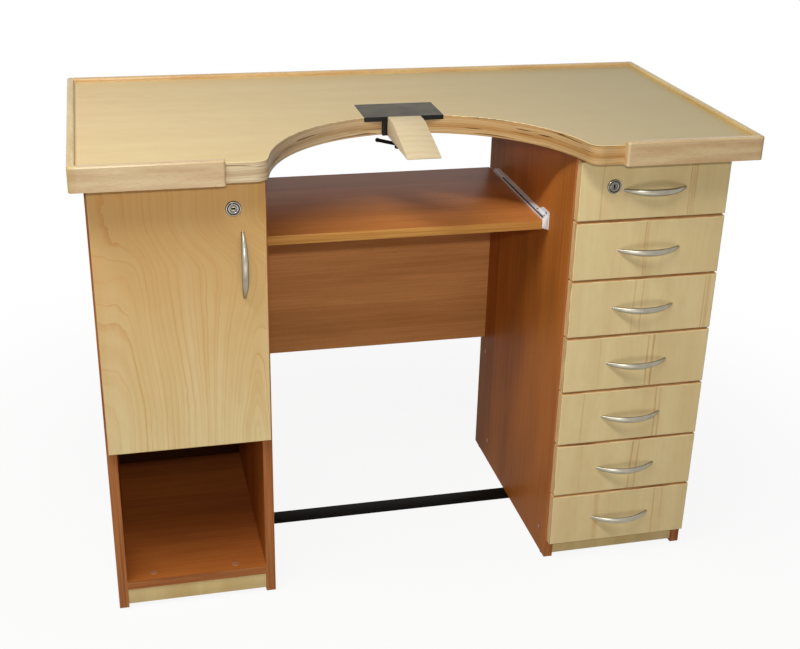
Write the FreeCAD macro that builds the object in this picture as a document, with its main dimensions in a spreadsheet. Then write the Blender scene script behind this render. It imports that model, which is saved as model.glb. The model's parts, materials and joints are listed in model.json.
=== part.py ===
import FreeCAD, Part
import math
import os
import re
import Sketcher
from FreeCAD import Placement, Rotation, Vector

# Jeweller's bench: a plywood worktop with a round cut-out stands on two laminated
# pedestals. The left one has a locked door over an open niche, the right one has a
# bank of drawers, and a tray runs on slides in the knee space between them. A steel
# plate with a clamp and a wooden bench pin sits on the edge of the cut-out.
# Millimetres. X to the right, Y from the front to the back, Z up. The origin is on
# the floor, under the middle of the worktop.

SIZES = (
    ("top_width", 1200, "worktop with its edge trims, left to right"),
    ("top_depth", 610, "worktop with its edge trims, front to back"),
    ("top_thickness", 35, "plywood of the worktop"),
    ("trim_width", 13, "solid wood trim around the plywood"),
    ("lip_height", 8, "how far the trim stands above the plywood"),
    ("trim_corner_radius", 7, "outer corners of the trim, seen from above"),
    ("trim_end_radius", 5, "ends of the two front trims, seen from above"),
    ("trim_edge_radius", 4, "rounded upper edges of the trim"),
    ("left_trim_length", 248, "left front trim, from the bench's side to its end"),
    ("right_trim_length", 260, "right front trim, from the bench's side to its end"),
    ("cutout_radius", 284, "round cut-out for the worker"),
    ("cutout_reach", 251, "depth of the cut-out, from the plywood's front"),
    ("cutout_corner_radius", 25, "rounded corners where the cut-out meets the front"),
    ("edge_break", 1.5, "eased edges of the plywood"),
    ("glide_height", 4, "floor glides and the tie bar between the pedestals"),
    ("glide_diameter", 16, "floor glide"),
    ("glide_setback", 25, "glide centre, from the front or back of a side panel"),
    ("side_height", 857, "side panels of the pedestals"),
    ("carcass_depth", 500, "side panels, front to back"),
    ("front_overhang", 80, "worktop in front of the side panels"),
    ("side_overhang", 22, "worktop beside the pedestals"),
    ("pedestal_width", 300, "pedestal over its side panels"),
    ("board", 18, "thickness of every laminated board"),
    ("plinth_height", 40, "underside of the bottom decks above the side panels' ends"),
    ("plinth_lift", 6, "gap under the plinth boards, above the side panels' ends"),
    ("plinth_setback", 3, "plinth boards behind the side panels' front edges"),
    ("niche_height", 287, "open niche under the door"),
    ("back_setback", 32, "back panels in front of the side panels' back edges"),
    ("rail_depth", 80, "top rails that carry the worktop"),
    ("front_thickness", 18, "plywood of the door and the drawer fronts"),
    ("front_clearance", 0.5, "gap between the carcass and the door or drawer fronts"),
    ("front_reveal", 3.5, "side panel left bare beside a door or drawer front"),
    ("front_lift", 1, "fronts above the underside of the deck behind them"),
    ("front_headroom", 8.5, "gap between the fronts and the worktop"),
    ("front_edge_radius", 2, "eased edges of the door and the drawer fronts"),
    ("drawer_count", 7, "drawers in the right pedestal"),
    ("drawer_front_gap", 4.5, "gap between one drawer front and the next"),
    ("drawer_back_gap", 20, "space behind a closed drawer box"),
    ("drawer_side_thickness", 12, "sides and back of a drawer box"),
    ("drawer_floor_gap", 3, "lowest drawer box above the deck"),
    ("drawer_top_gap", 6, "highest drawer box under the top rails"),
    ("drawer_back_drop", 6, "drawer back below the drawer sides"),
    ("drawer_bottom_thickness", 4, "bottom panel of a drawer"),
    ("drawer_bottom_lift", 8, "bottom panel above the lower edge of the sides"),
    ("drawer_groove", 5, "depth of the grooves that hold a drawer bottom"),
    ("slide_gap", 13, "space between a side panel and a drawer side or the tray"),
    ("slide_height", 35, "drawer slide, fixed rail"),
    ("slide_sheet", 1.5, "sheet steel of the slides"),
    ("slide_leg", 9, "flanges of a fixed rail"),
    ("slide_inner_leg", 10, "flanges of a moving rail"),
    ("slide_clearance", 0.3, "running gap between the two rails of a slide"),
    ("slide_end_gap", 30, "slide shorter than the drawer box or the tray"),
    ("slide_rise", 26, "middle of a drawer slide above the box's lower edge"),
    ("tray_height", 699, "upper face of the tray above the floor"),
    ("tray_setback", 195, "front of the tray behind the front of the worktop"),
    ("tray_back_gap", 7, "gap between the tray and the modesty panel"),
    ("tray_slide_height", 24, "fixed rail of the tray"),
    ("tray_slide_rise", 3, "tray slide's middle above the middle of the tray"),
    ("tray_plate_width", 34, "mounting plate at the front of a tray rail"),
    ("tray_plate_height", 35, "mounting plate at the front of a tray rail"),
    ("tray_plate_rise", 15, "upper edge of the mounting plate above the tray"),
    ("tray_plate_slope", 20, "length of the plate's sloping shoulder"),
    ("tray_plate_thickness", 2.5, "mounting plate at the front of a tray rail"),
    ("modesty_height", 380, "modesty panel behind the knee space"),
    ("modesty_drop", 9, "top of the modesty panel below the tray"),
    ("modesty_setback", 10, "modesty panel in front of the side panels' back edges"),
    ("tie_bar_width", 40, "flat steel bar on the floor between the pedestals"),
    ("tie_bar_setback", 258, "middle of the tie bar behind the side panels' fronts"),
    ("handle_span", 118, "bow handle, between the middles of its feet"),
    ("handle_reach", 27, "bow handle, out from the wood"),
    ("handle_width", 12, "bow handle across its middle"),
    ("handle_thickness", 8, "bow handle through its middle"),
    ("handle_tip_width", 6, "bow handle across its feet"),
    ("handle_tip_thickness", 5, "bow handle through its feet"),
    ("door_handle_inset", 40.5, "door handle from the door's free edge"),
    ("door_handle_drop", 154, "middle of the door handle below the door's top"),
    ("door_lock_inset", 55, "door lock from the door's free edge"),
    ("door_lock_drop", 51, "door lock below the door's top"),
    ("drawer_lock_inset", 66, "drawer lock from the front's left edge"),
    ("drawer_lock_drop", 47.5, "drawer lock below the front's top"),
    ("lock_rosette_diameter", 27, "round cover of a lock"),
    ("lock_rosette_thickness", 2.5, "round cover of a lock"),
    ("lock_barrel_diameter", 18, "barrel of a lock, through the wood"),
    ("lock_barrel_tail", 4, "barrel of a lock, behind the wood"),
    ("lock_plug_diameter", 11, "turning plug of a lock"),
    ("lock_clearance", 0.05, "running gap around a lock's plug"),
    ("lock_cam_length", 30, "reach of a lock's cam from its axis"),
    ("lock_cam_width", 12, "cam of a lock"),
    ("lock_cam_thickness", 2, "cam of a lock"),
    ("keyway_width", 2, "key slot"),
    ("keyway_length", 8, "key slot"),
    ("keyway_depth", 5, "key slot"),
    ("hinge_cup_diameter", 35, "cup of a concealed hinge"),
    ("hinge_cup_depth", 11.5, "cup of a concealed hinge"),
    ("hinge_cup_wall", 1.5, "cup of a concealed hinge"),
    ("hinge_cup_inset", 22.5, "middle of the hinge cup from the door's edge"),
    ("hinge_end_setback", 90, "hinges from the top and bottom of the door"),
    ("hinge_arm_length", 75, "hinge arm along the side panel"),
    ("hinge_arm_width", 12, "hinge arm"),
    ("hinge_arm_thickness", 10, "hinge arm with its plate, out from the side panel"),
    ("hinge_plate_length", 40, "mounting plate of a hinge arm"),
    ("hinge_plate_width", 48, "mounting plate of a hinge arm"),
    ("hinge_plate_thickness", 3, "mounting plate of a hinge arm"),
    ("screw_diameter", 6, "shank of a carcass screw"),
    ("screw_length", 45, "carcass screw under its head"),
    ("screw_head_diameter", 10, "carcass screw with its cover cap"),
    ("screw_head_thickness", 3, "carcass screw's head"),
    ("screw_cap_rise", 0.6, "cover cap, proud of the wood"),
    ("top_screw_cover", 10, "plywood left above a screw that holds the worktop"),
    ("screw_setback", 40, "screws from the front or back edge of a board"),
    ("back_screw_setback", 216.5, "screws of a back panel from its lower or upper edge"),
    ("anvil_width", 150, "steel plate let into the worktop, left to right"),
    ("anvil_depth", 95, "steel plate let into the worktop, front to back"),
    ("anvil_thickness", 8.5, "steel plate let into the worktop"),
    ("anvil_rise", 0.5, "steel plate above the plywood"),
    ("anvil_shift", 2, "middle of the steel plate to the right of the worktop's middle"),
    ("anvil_overhang", 10, "steel plate in front of the cut-out's edge"),
    ("anvil_edge", 0.4, "eased edges of the steel plate"),
    ("anvil_fit", 0.2, "gap around the steel plate in its recess"),
    ("cheek_thickness", 9, "cheeks beside the bench pin"),
    ("socket_depth", 20, "socket for the bench pin's tail, front to back"),
    ("socket_gap", 0.3, "gap between the socket and the notch in the plywood"),
    ("socket_floor", 4, "floor under the bench pin's tail"),
    ("web_thickness", 9, "back wall of the socket and upright of the clamp"),
    ("arm_width", 24, "upright and lower arm of the clamp"),
    ("arm_thickness", 11, "lower arm of the clamp"),
    ("arm_drop", 11, "lower arm below the worktop"),
    ("arm_margin", 14, "lower arm behind the clamp screw"),
    ("clamp_setback", 31, "clamp screw behind the cut-out's edge"),
    ("clamp_screw_diameter", 10, "clamp screw"),
    ("clamp_nose_diameter", 6, "nose of the clamp screw, in the pad"),
    ("clamp_nose_length", 2.5, "nose of the clamp screw, in the pad"),
    ("clamp_fit", 0.05, "running gap around the clamp screw, its nose and the bar"),
    ("clamp_head_diameter", 14, "head of the clamp screw"),
    ("clamp_head_height", 14, "head of the clamp screw"),
    ("clamp_head_gap", 0.5, "gap between the arm and the screw's head"),
    ("pad_diameter", 18, "pad under the worktop"),
    ("pad_thickness", 4, "pad under the worktop"),
    ("tommy_diameter", 7, "tommy bar"),
    ("tommy_length", 90, "tommy bar"),
    ("tommy_knob_diameter", 8.5, "rounded ends of the tommy bar"),
    ("tommy_shift", 3, "tommy bar's middle off the screw's axis"),
    ("tommy_angle", 133.5, "direction of the tommy bar, in degrees from +X"),
    ("pin_width", 62, "bench pin"),
    ("pin_height", 35.5, "bench pin at its back"),
    ("pin_length", 158, "bench pin in front of the steel plate"),
    ("pin_flat", 37, "level part of the bench pin's upper face, to the start of its slope"),
    ("pin_knee_radius", 110, "bench pin, where its slope begins"),
    ("pin_tip", 2.5, "thickness of the bench pin's tip"),
    ("pin_fit", 0.2, "gap around the bench pin's tail"),
)

ALIAS = re.compile(r"\b(" + "|".join(sorted((row[0] for row in SIZES), key=len, reverse=True)) + r")\b")

# Places that several pieces share, as formulas over the sizes.
PLY_LEFT = "(-top_width/2 + trim_width)"
PLY_FRONT = "(-top_depth/2 + trim_width)"
APEX = f"({PLY_FRONT} + cutout_reach)"
FRONT = "(-top_depth/2 + front_overhang)"
BACK = f"({FRONT} + carcass_depth)"
UNDERSIDE = "(glide_height + side_height)"
TOP_FACE = f"({UNDERSIDE} + top_thickness)"
LEFT = "(-top_width/2 + side_overhang)"
RIGHT = "(top_width/2 - side_overhang - pedestal_width)"
KNEE_WIDTH = f"({RIGHT} - {LEFT} - pedestal_width)"
INNER_WIDTH = "(pedestal_width - 2*board)"
INNER_DEPTH = "(carcass_depth - back_setback - board)"
DECK = "(glide_height + plinth_height)"
MIDDLE_DECK = f"({DECK} + board + niche_height)"
FACE = f"({FRONT} - front_clearance - front_thickness)"
FACE_WIDTH = "(pedestal_width - 2*front_reveal)"
FACE_TOP = f"({UNDERSIDE} - front_headroom)"
DOOR_BOTTOM = f"({MIDDLE_DECK} + front_lift)"
DRAWER_PITCH = f"(({FACE_TOP} + drawer_front_gap - {DECK} - front_lift)/drawer_count)"
DRAWER_HEIGHT = f"({DRAWER_PITCH} - drawer_front_gap)"
BOX_WIDTH = f"({INNER_WIDTH} - 2*slide_gap)"
BOX_LENGTH = f"({INNER_DEPTH} + front_clearance - drawer_back_gap)"
BOX_LIFT = "(board - front_lift + drawer_floor_gap)"
BOX_HEIGHT = f"({DRAWER_HEIGHT} - {BOX_LIFT} - board + front_headroom - drawer_top_gap)"
TRAY_FRONT = "(-top_depth/2 + tray_setback)"
TRAY_BOTTOM = "(tray_height - board)"
MODESTY_FACE = f"({BACK} - modesty_setback - board)"
TRAY_DEPTH = f"({MODESTY_FACE} - tray_back_gap - {TRAY_FRONT})"
PLATE_FRONT = f"({APEX} - anvil_overhang)"
PLATE_TOP = f"({TOP_FACE} + anvil_rise)"
PLATE_SEAT = f"({PLATE_TOP} - anvil_thickness)"
PIN_BOTTOM = f"({PLATE_TOP} - pin_height)"
SOCKET_HALF = "(pin_width/2 + pin_fit)"
SOCKET_BACK = f"({PLATE_FRONT} + socket_depth + web_thickness)"
ARM_TOP = f"({UNDERSIDE} - arm_drop)"
CLAMP_Y = f"({APEX} + clamp_setback)"
HEAD_TOP = f"({ARM_TOP} - arm_thickness - clamp_head_gap)"
TOMMY_Z = f"({HEAD_TOP} - clamp_head_height/2)"

# Directions, how far a cutter runs past a face, and the size that a sketch is drawn at
# before its dimensions are set.
X_AXIS, Y_AXIS, Z_AXIS = Vector(1, 0, 0), Vector(0, 1, 0), Vector(0, 0, 1)
OVERCUT = 1.0
FIRST_GUESS = 10.0

doc = FreeCAD.newDocument("jewelers_bench")
nodes = {}


# ---------------------------------------------------------------- sheet and helpers

def make_sheet():
    """Write the driving sizes to a spreadsheet, one alias to a row."""
    sheet = doc.addObject("Spreadsheet::Sheet", "sizes")
    for row, (alias, size, meaning) in enumerate(SIZES, start=1):
        sheet.set(f"A{row}", alias)
        sheet.set(f"B{row}", str(size))
        sheet.set(f"C{row}", meaning)
        sheet.setAlias(f"B{row}", alias)
    doc.recompute()
    return sheet


def value(alias):
    """The number that the sheet holds for one size."""
    return float(doc.getObject("sizes").get(alias))


def formula(text):
    """The text of a FreeCAD expression, with every size taken from the sheet."""
    return ALIAS.sub(r"sizes.\1", text)


def bind(thing, path, text):
    """Tie one property of an object to the sheet."""
    thing.setExpression(path, formula(text))


def place(thing, x, y, z):
    """Tie the place of an object to the sheet."""
    for axis, text in zip("xyz", (x, y, z)):
        bind(thing, "Placement.Base." + axis, text)


def node(label, thing):
    """Register an object as one sub-part, under the name of its file."""
    thing.Label = label
    nodes[label] = thing
    return thing


def box(name, corner, size):
    """A board or bar, from its lowest corner and its size along X, Y and Z."""
    solid = doc.addObject("Part::Box", name)
    for side, text in zip(("Length", "Width", "Height"), size):
        bind(solid, side, text)
    place(solid, *corner)
    return solid


def rod(name, start, diameter, length, direction=Z_AXIS):
    """A cylinder from its start point along a direction."""
    solid = doc.addObject("Part::Cylinder", name)
    bind(solid, "Radius", f"({diameter})/2")
    bind(solid, "Height", length)
    solid.Placement = Placement(Vector(), Rotation(Z_AXIS, direction))
    place(solid, *start)
    return solid


def cut(name, base, tool):
    """The base less the tool."""
    result = doc.addObject("Part::Cut", name)
    result.Base = base
    result.Tool = tool
    return result


def common(name, first, second):
    """What two shapes share."""
    result = doc.addObject("Part::Common", name)
    result.Base = first
    result.Tool = second
    return result


def fuse(name, parts):
    """Parts joined to one solid."""
    result = doc.addObject("Part::MultiFuse", name)
    result.Shapes = parts
    return result


def group(name, parts):
    """Separate solids kept in one object."""
    result = doc.addObject("Part::Compound", name)
    result.Links = parts
    return result


def new_body(name):
    """An empty PartDesign body."""
    return doc.addObject("PartDesign::Body", name)


def new_sketch(body, role):
    """A sketch on one of the origin planes of its own body."""
    sketch = body.newObject("Sketcher::SketchObject", body.Name + "_sketch")
    plane = next(item for item in body.Origin.OriginFeatures if item.Role == role)
    sketch.AttachmentSupport = [(plane, "")]
    sketch.MapMode = "FlatFace"
    return sketch


def dimension(sketch, kind, where, start, text):
    """A dimension of a sketch, tied to the sheet."""
    index = sketch.addConstraint(Sketcher.Constraint(kind, *where, start))
    bind(sketch, f"Constraints[{index}]", text)


def polygon(sketch, corners):
    """A closed outline whose corners are pairs of formulas."""
    count = len(corners)
    start = []
    for index in range(count):
        turn = 2 * math.pi * index / count
        start.append(Vector(FIRST_GUESS * math.cos(turn), FIRST_GUESS * math.sin(turn), 0))
    for index in range(count):
        sketch.addGeometry(Part.LineSegment(start[index], start[(index + 1) % count]), False)
    for index in range(count):
        sketch.addConstraint(Sketcher.Constraint("Coincident", index, 2, (index + 1) % count, 1))
    for index, (across, up) in enumerate(corners):
        dimension(sketch, "DistanceX", (-1, 1, index, 1), start[index].x, across)
        dimension(sketch, "DistanceY", (-1, 1, index, 1), start[index].y, up)


def rectangle(sketch, left, bottom, right, top):
    """A closed outline between two corners."""
    polygon(sketch, ((left, bottom), (right, bottom), (right, top), (left, top)))


def pad(body, sketch, length, midplane=False, backwards=False):
    """A sketch made solid."""
    feature = body.newObject("PartDesign::Pad", body.Name + "_pad")
    feature.Profile = sketch
    feature.Midplane = midplane
    feature.Reversed = backwards
    bind(feature, "Length", length)
    return feature


def pocket_through(body, sketch):
    """A sketch cut through the body on both sides of its plane."""
    feature = body.newObject("PartDesign::Pocket", body.Name + "_pocket")
    feature.Profile = sketch
    feature.Midplane = True
    feature.Type = "ThroughAll"
    return feature


def revolve(body, sketch):
    """A sketch turned once around its own upright axis."""
    feature = body.newObject("PartDesign::Revolution", body.Name + "_turned")
    feature.Profile = sketch
    feature.ReferenceAxis = (sketch, ["V_Axis"])
    feature.Angle = 360
    return feature


def fillet(body, base, radius, keep):
    """Rounded edges of a body, for the edges that the keep test accepts."""
    doc.recompute()
    limits = base.Shape.BoundBox
    names = [f"Edge{i}" for i, edge in enumerate(base.Shape.Edges, start=1) if keep(edge, limits)]
    feature = body.newObject("PartDesign::Fillet", body.Name + "_fillet")
    feature.Base = (base, names)
    bind(feature, "Radius", radius)
    return feature


def near(first, second):
    """Whether two lengths are the same."""
    return abs(first - second) < 0.01


def upright(edge):
    """Whether an edge is a straight line along Z."""
    bounds = edge.BoundBox
    return near(bounds.XLength, 0) and near(bounds.YLength, 0)


# ---------------------------------------------------------------- fasteners

def carcass_screw(name, face, y, z, inward):
    """A screw through a side panel, with its cover cap a little proud of the face."""
    sign = "+" if inward > 0 else "-"
    back = "-" if inward > 0 else "+"
    along = X_AXIS * inward
    head = rod(name + "_head", (f"{face} {back} screw_cap_rise", y, z), "screw_head_diameter",
               "screw_head_thickness + screw_cap_rise", along)
    shank = rod(name + "_shank", (f"{face} {sign} screw_head_thickness", y, z), "screw_diameter",
                "screw_length", along)
    return fuse(name, [head, shank])


def top_screw(name, x, y):
    """A screw from under a top rail into the worktop."""
    start = f"{UNDERSIDE} - board"
    head = rod(name + "_head", (x, y, f"{start} - screw_cap_rise"), "screw_head_diameter",
               "screw_head_thickness + screw_cap_rise")
    shank = rod(name + "_shank", (x, y, f"{start} + screw_head_thickness"), "screw_diameter",
                "board + top_thickness - screw_head_thickness - top_screw_cover")
    return fuse(name, [head, shank])


def cabinet_screws():
    """All carcass screws: through the sides into the decks and rails, and up into the top."""
    screws = []
    near_front = f"{FRONT} + screw_setback"
    near_back = f"{FRONT} + {INNER_DEPTH} - screw_setback"
    rail_rows = ((f"{FRONT} + rail_depth/2", f"{UNDERSIDE} - board/2"),
                 (f"{FRONT} + {INNER_DEPTH} - rail_depth/2", f"{UNDERSIDE} - board/2"))
    back_rows = tuple((f"{FRONT} + {INNER_DEPTH} + board/2", z) for z in
                      (f"{DECK} + back_screw_setback", f"{UNDERSIDE} - back_screw_setback"))
    bottom_rows = tuple((y, f"{DECK} + board/2") for y in (near_front, near_back))
    middle_rows = tuple((y, f"{MIDDLE_DECK} + board/2") for y in (near_front, near_back))
    rows_of = {LEFT: bottom_rows + middle_rows + rail_rows + back_rows,
               RIGHT: bottom_rows + rail_rows + back_rows}
    for pedestal, rows in rows_of.items():
        for face, inward in ((pedestal, 1), (f"{pedestal} + pedestal_width", -1)):
            for y, z in rows:
                screws.append(carcass_screw(f"screw_{len(screws)}", face, y, z, inward))
        for x in ("pedestal_width/4", "3*pedestal_width/4"):
            for y in (rail_rows[0][0], rail_rows[1][0]):
                screws.append(top_screw(f"screw_{len(screws)}", f"{pedestal} + {x}", y))
    modesty_top = f"({TRAY_BOTTOM} - modesty_drop)"
    for face, inward in ((f"{LEFT} + pedestal_width - board", 1), (f"{RIGHT} + board", -1)):
        for z in (f"{modesty_top} - screw_setback", f"{modesty_top} - modesty_height + screw_setback"):
            screws.append(carcass_screw(f"screw_{len(screws)}", face, f"{MODESTY_FACE} + board/2",
                                        z, inward))
    return node("cabinet_screws", group("cabinet_screws", screws))


# ---------------------------------------------------------------- worktop

def anvil_room():
    """The recess for the steel plate, and the notch for the socket under it."""
    left = "anvil_shift - anvil_width/2 - anvil_fit"
    recess = box("plate_recess", (left, f"{PLATE_FRONT} - anvil_overhang", PLATE_SEAT),
                 ("anvil_width + 2*anvil_fit", "anvil_overhang + anvil_depth + anvil_fit",
                  f"{PLATE_TOP} - {PLATE_SEAT}"))
    reach = f"({SOCKET_HALF} + cheek_thickness + socket_gap)"
    below = f"({UNDERSIDE} - {OVERCUT})"
    notch = box("socket_notch", (f"anvil_shift - {reach}", PLATE_FRONT, below),
                (f"2*{reach}", f"{SOCKET_BACK} + socket_gap - {PLATE_FRONT}", f"{PLATE_TOP} - {below}"))
    return fuse("anvil_room", [recess, notch])


def worktop(screws):
    """The plywood slab with its round cut-out, cut for the anvil and drilled for the top screws."""
    body = new_body("worktop_slab")
    outline = new_sketch(body, "XY_Plane")
    rectangle(outline, PLY_LEFT, PLY_FRONT, f"-{PLY_LEFT}", f"-{PLY_FRONT}")
    pad(body, outline, "top_thickness")
    hole = new_sketch(body, "XY_Plane")
    hole.addGeometry(Part.Circle(Vector(0, 0, 0), Z_AXIS, FIRST_GUESS), False)
    hole.addConstraint(Sketcher.Constraint("PointOnObject", 0, 3, -2))
    dimension(hole, "DistanceY", (-1, 1, 0, 3), FIRST_GUESS, f"{APEX} - cutout_radius")
    dimension(hole, "Radius", (0,), FIRST_GUESS, "cutout_radius")
    opened = pocket_through(body, hole)
    rounded = fillet(body, opened, "cutout_corner_radius",
                     lambda edge, limits: upright(edge) and near(edge.BoundBox.YMin, limits.YMin)
                     and abs(edge.BoundBox.XMin) < limits.XMax - OVERCUT)

    def along_front(edge, limits):
        level = near(edge.BoundBox.ZLength, 0)
        outer = (near(abs(edge.CenterOfMass.x), limits.XMax) or near(edge.BoundBox.YMin, limits.YMax))
        return level and not outer

    fillet(body, rounded, "edge_break", along_front)
    place(body, "0", "0", UNDERSIDE)
    node("worktop", cut("worktop", cut("worktop_let_in", body, anvil_room()), screws))


def edge_frame():
    """The whole wooden trim around the worktop, before it is parted at its joints."""
    body = new_body("edge_frame")
    outline = new_sketch(body, "XY_Plane")
    rectangle(outline, "-top_width/2", "-top_depth/2", "top_width/2", "top_depth/2")
    block = pad(body, outline, "top_thickness + lip_height")
    rounded = fillet(body, block, "trim_corner_radius", lambda edge, limits: upright(edge))
    inside = new_sketch(body, "XY_Plane")
    rectangle(inside, PLY_LEFT, PLY_FRONT, f"-{PLY_LEFT}", f"-{PLY_FRONT}")
    pocket_through(body, inside)
    gap = new_sketch(body, "XY_Plane")
    rectangle(gap, "-top_width/2 + left_trim_length", f"-top_depth/2 - {OVERCUT}",
              "top_width/2 - right_trim_length", f"{PLY_FRONT} + {OVERCUT}")
    opened = pocket_through(body, gap)
    ended = fillet(body, opened, "trim_end_radius",
                   lambda edge, limits: upright(edge) and near(edge.BoundBox.YMin, limits.YMin)
                   and abs(edge.BoundBox.XMin) < limits.XMax * 0.9)
    fillet(body, ended, "trim_edge_radius",
           lambda edge, limits: near(edge.BoundBox.ZMin, limits.ZMax))
    place(body, "0", "0", UNDERSIDE)
    return body


def edge_trims():
    """The trim parted into the pieces that the bench is lipped with."""
    frame = edge_frame()
    height = "top_thickness + lip_height"
    sides = []
    for name, left in (("left", "-top_width/2"), ("right", "top_width/2 - trim_width")):
        room = box(f"{name}_trim_room", (left, "-top_depth/2", UNDERSIDE),
                   ("trim_width", "top_depth", height))
        sides.append(common(f"{name}_trim", frame, room))
    node("side_edge_trims", group("side_edge_trims", sides))
    long_sides = (("back_edge_trim", "top_depth/2 - trim_width"), ("front_edge_trims", "-top_depth/2"))
    for label, front in long_sides:
        room = box(label + "_room", (PLY_LEFT, front, UNDERSIDE),
                   (f"-2*{PLY_LEFT}", "trim_width", height))
        node(label, common(label, frame, room))


# ---------------------------------------------------------------- pedestals

def side_panels(screws):
    """Four upright laminated boards."""
    across = "pedestal_width - board"
    for label, left in (("left_outer_side", LEFT), ("left_inner_side", f"{LEFT} + {across}"),
                        ("right_inner_side", RIGHT), ("right_outer_side", f"{RIGHT} + {across}")):
        panel = box(label + "_board", (left, FRONT, "glide_height"),
                    ("board", "carcass_depth", "side_height"))
        node(label, cut(label, panel, screws))


def inner_boards(screws):
    """Decks, top rails, backs and plinths between the side panels."""
    decks, rails, backs, plinths = [], [], [], []
    rail_z = f"{UNDERSIDE} - board"
    for side, pedestal in (("left", LEFT), ("right", RIGHT)):
        x = f"{pedestal} + board"
        decks.append(box(side + "_bottom_deck", (x, FRONT, DECK), (INNER_WIDTH, INNER_DEPTH, "board")))
        rails.append(box(side + "_front_rail", (x, FRONT, rail_z), (INNER_WIDTH, "rail_depth", "board")))
        rails.append(box(side + "_back_rail", (x, f"{FRONT} + {INNER_DEPTH} - rail_depth", rail_z),
                         (INNER_WIDTH, "rail_depth", "board")))
        backs.append(box(side + "_back", (x, f"{FRONT} + {INNER_DEPTH}", DECK),
                         (INNER_WIDTH, "board", f"{UNDERSIDE} - {DECK}")))
        plinths.append(box(side + "_plinth",
                           (x, f"{FRONT} + plinth_setback", "glide_height + plinth_lift"),
                           (INNER_WIDTH, "board", "plinth_height - plinth_lift")))
    decks.append(box("left_middle_deck", (f"{LEFT} + board", FRONT, MIDDLE_DECK),
                     (INNER_WIDTH, INNER_DEPTH, "board")))
    for label, boards in (("cabinet_decks", decks), ("cabinet_top_rails", rails),
                          ("cabinet_backs", backs)):
        drilled = [cut(f"{board.Name}_drilled", board, screws) for board in boards]
        node(label, group(label, drilled))
    node("plinth_boards", group("plinth_boards", plinths))


def knee_space(screws):
    """The modesty panel and the flat tie bar between the pedestals."""
    x = f"{LEFT} + pedestal_width"
    panel = box("modesty_board", (x, MODESTY_FACE, f"{TRAY_BOTTOM} - modesty_drop - modesty_height"),
                (KNEE_WIDTH, "board", "modesty_height"))
    node("modesty_panel", cut("modesty_panel", panel, screws))
    node("tie_bar", box("tie_bar", (f"{x} - board", f"{FRONT} + tie_bar_setback - tie_bar_width/2", "0"),
                        (f"{KNEE_WIDTH} + 2*board", "tie_bar_width", "glide_height")))


def floor_glides():
    """Two round glides under each side panel."""
    glides = []
    for pedestal in (LEFT, RIGHT):
        for x in (f"{pedestal} + board/2", f"{pedestal} + pedestal_width - board/2"):
            for y in (f"{FRONT} + glide_setback", f"{BACK} - glide_setback"):
                glides.append(rod(f"glide_{len(glides)}", (x, y, "0"), "glide_diameter", "glide_height"))
    node("floor_glides", group("floor_glides", glides))


# ---------------------------------------------------------------- slides

def rail(name, web, toward, y, z, length, height, leg):
    """A folded steel rail: a web at one place and two flanges, open toward +X or -X."""
    left = web if toward > 0 else f"{web} - {leg}"
    hollow_left = f"{web} + slide_sheet" if toward > 0 else f"{web} - {leg} - {OVERCUT}"
    block = box(name + "_block", (left, y, f"{z} - ({height})/2"), (leg, length, height))
    hollow = box(name + "_hollow", (hollow_left, f"{y} - {OVERCUT}", f"{z} - ({height})/2 + slide_sheet"),
                 (f"{leg} - slide_sheet + {OVERCUT}", f"{length} + {2 * OVERCUT}",
                  f"{height} - 2*slide_sheet"))
    return cut(name, block, hollow)


def slide_pair(name, left_wall, right_wall, y, z, length, height):
    """The two fixed rails on facing walls and the two moving rails inside them."""
    inner = f"({height} - 2*slide_sheet - 2*slide_clearance)"
    fixed = [rail(name + "_left_fixed", left_wall, 1, y, z, length, height, "slide_leg"),
             rail(name + "_right_fixed", right_wall, -1, y, z, length, height, "slide_leg")]
    moving = [rail(name + "_left_moving", f"{left_wall} + slide_gap", -1, y, z, length, inner,
                   "slide_inner_leg"),
              rail(name + "_right_moving", f"{right_wall} - slide_gap", 1, y, z, length, inner,
                   "slide_inner_leg")]
    return fixed, moving


def tray_plate(name, wall, toward):
    """The mounting plate at the front of a fixed tray rail, with a sloping shoulder."""
    body = new_body(name)
    outline = new_sketch(body, "YZ_Plane")
    shoulder = "(tray_plate_height - tray_plate_rise - board/2 + tray_slide_rise + tray_slide_height/2)"
    polygon(outline, (("0", "0"), ("tray_plate_width", "0"),
                      ("tray_plate_width", f"{shoulder} - tray_slide_height"),
                      ("tray_plate_width + tray_plate_slope", f"{shoulder} - tray_slide_height"),
                      ("tray_plate_width + tray_plate_slope", shoulder),
                      ("tray_plate_width", "tray_plate_height"), ("0", "tray_plate_height")))
    pad(body, outline, "tray_plate_thickness", backwards=toward < 0)
    place(body, wall, TRAY_FRONT, "tray_height + tray_plate_rise - tray_plate_height")
    return body


def tray():
    """The pull-out tray with its rails; returns the fixed rails."""
    left_wall = f"{LEFT} + pedestal_width"
    middle = f"({TRAY_BOTTOM} + board/2 + tray_slide_rise)"
    fixed, moving = slide_pair("tray_rail", left_wall, RIGHT, TRAY_FRONT, middle,
                               f"({TRAY_DEPTH} - slide_end_gap)", "tray_slide_height")
    node("tray_board", box("tray_board", (f"{left_wall} + slide_gap", TRAY_FRONT, TRAY_BOTTOM),
                           (f"{KNEE_WIDTH} - 2*slide_gap", TRAY_DEPTH, "board")))
    node("tray_runners", group("tray_runners", moving))
    plates = (tray_plate("tray_plate_left", left_wall, 1), tray_plate("tray_plate_right", RIGHT, -1))
    return [fuse(f"{own.Name}_plated", [own, plate]) for own, plate in zip(fixed, plates)]


# ---------------------------------------------------------------- handles and locks

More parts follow.
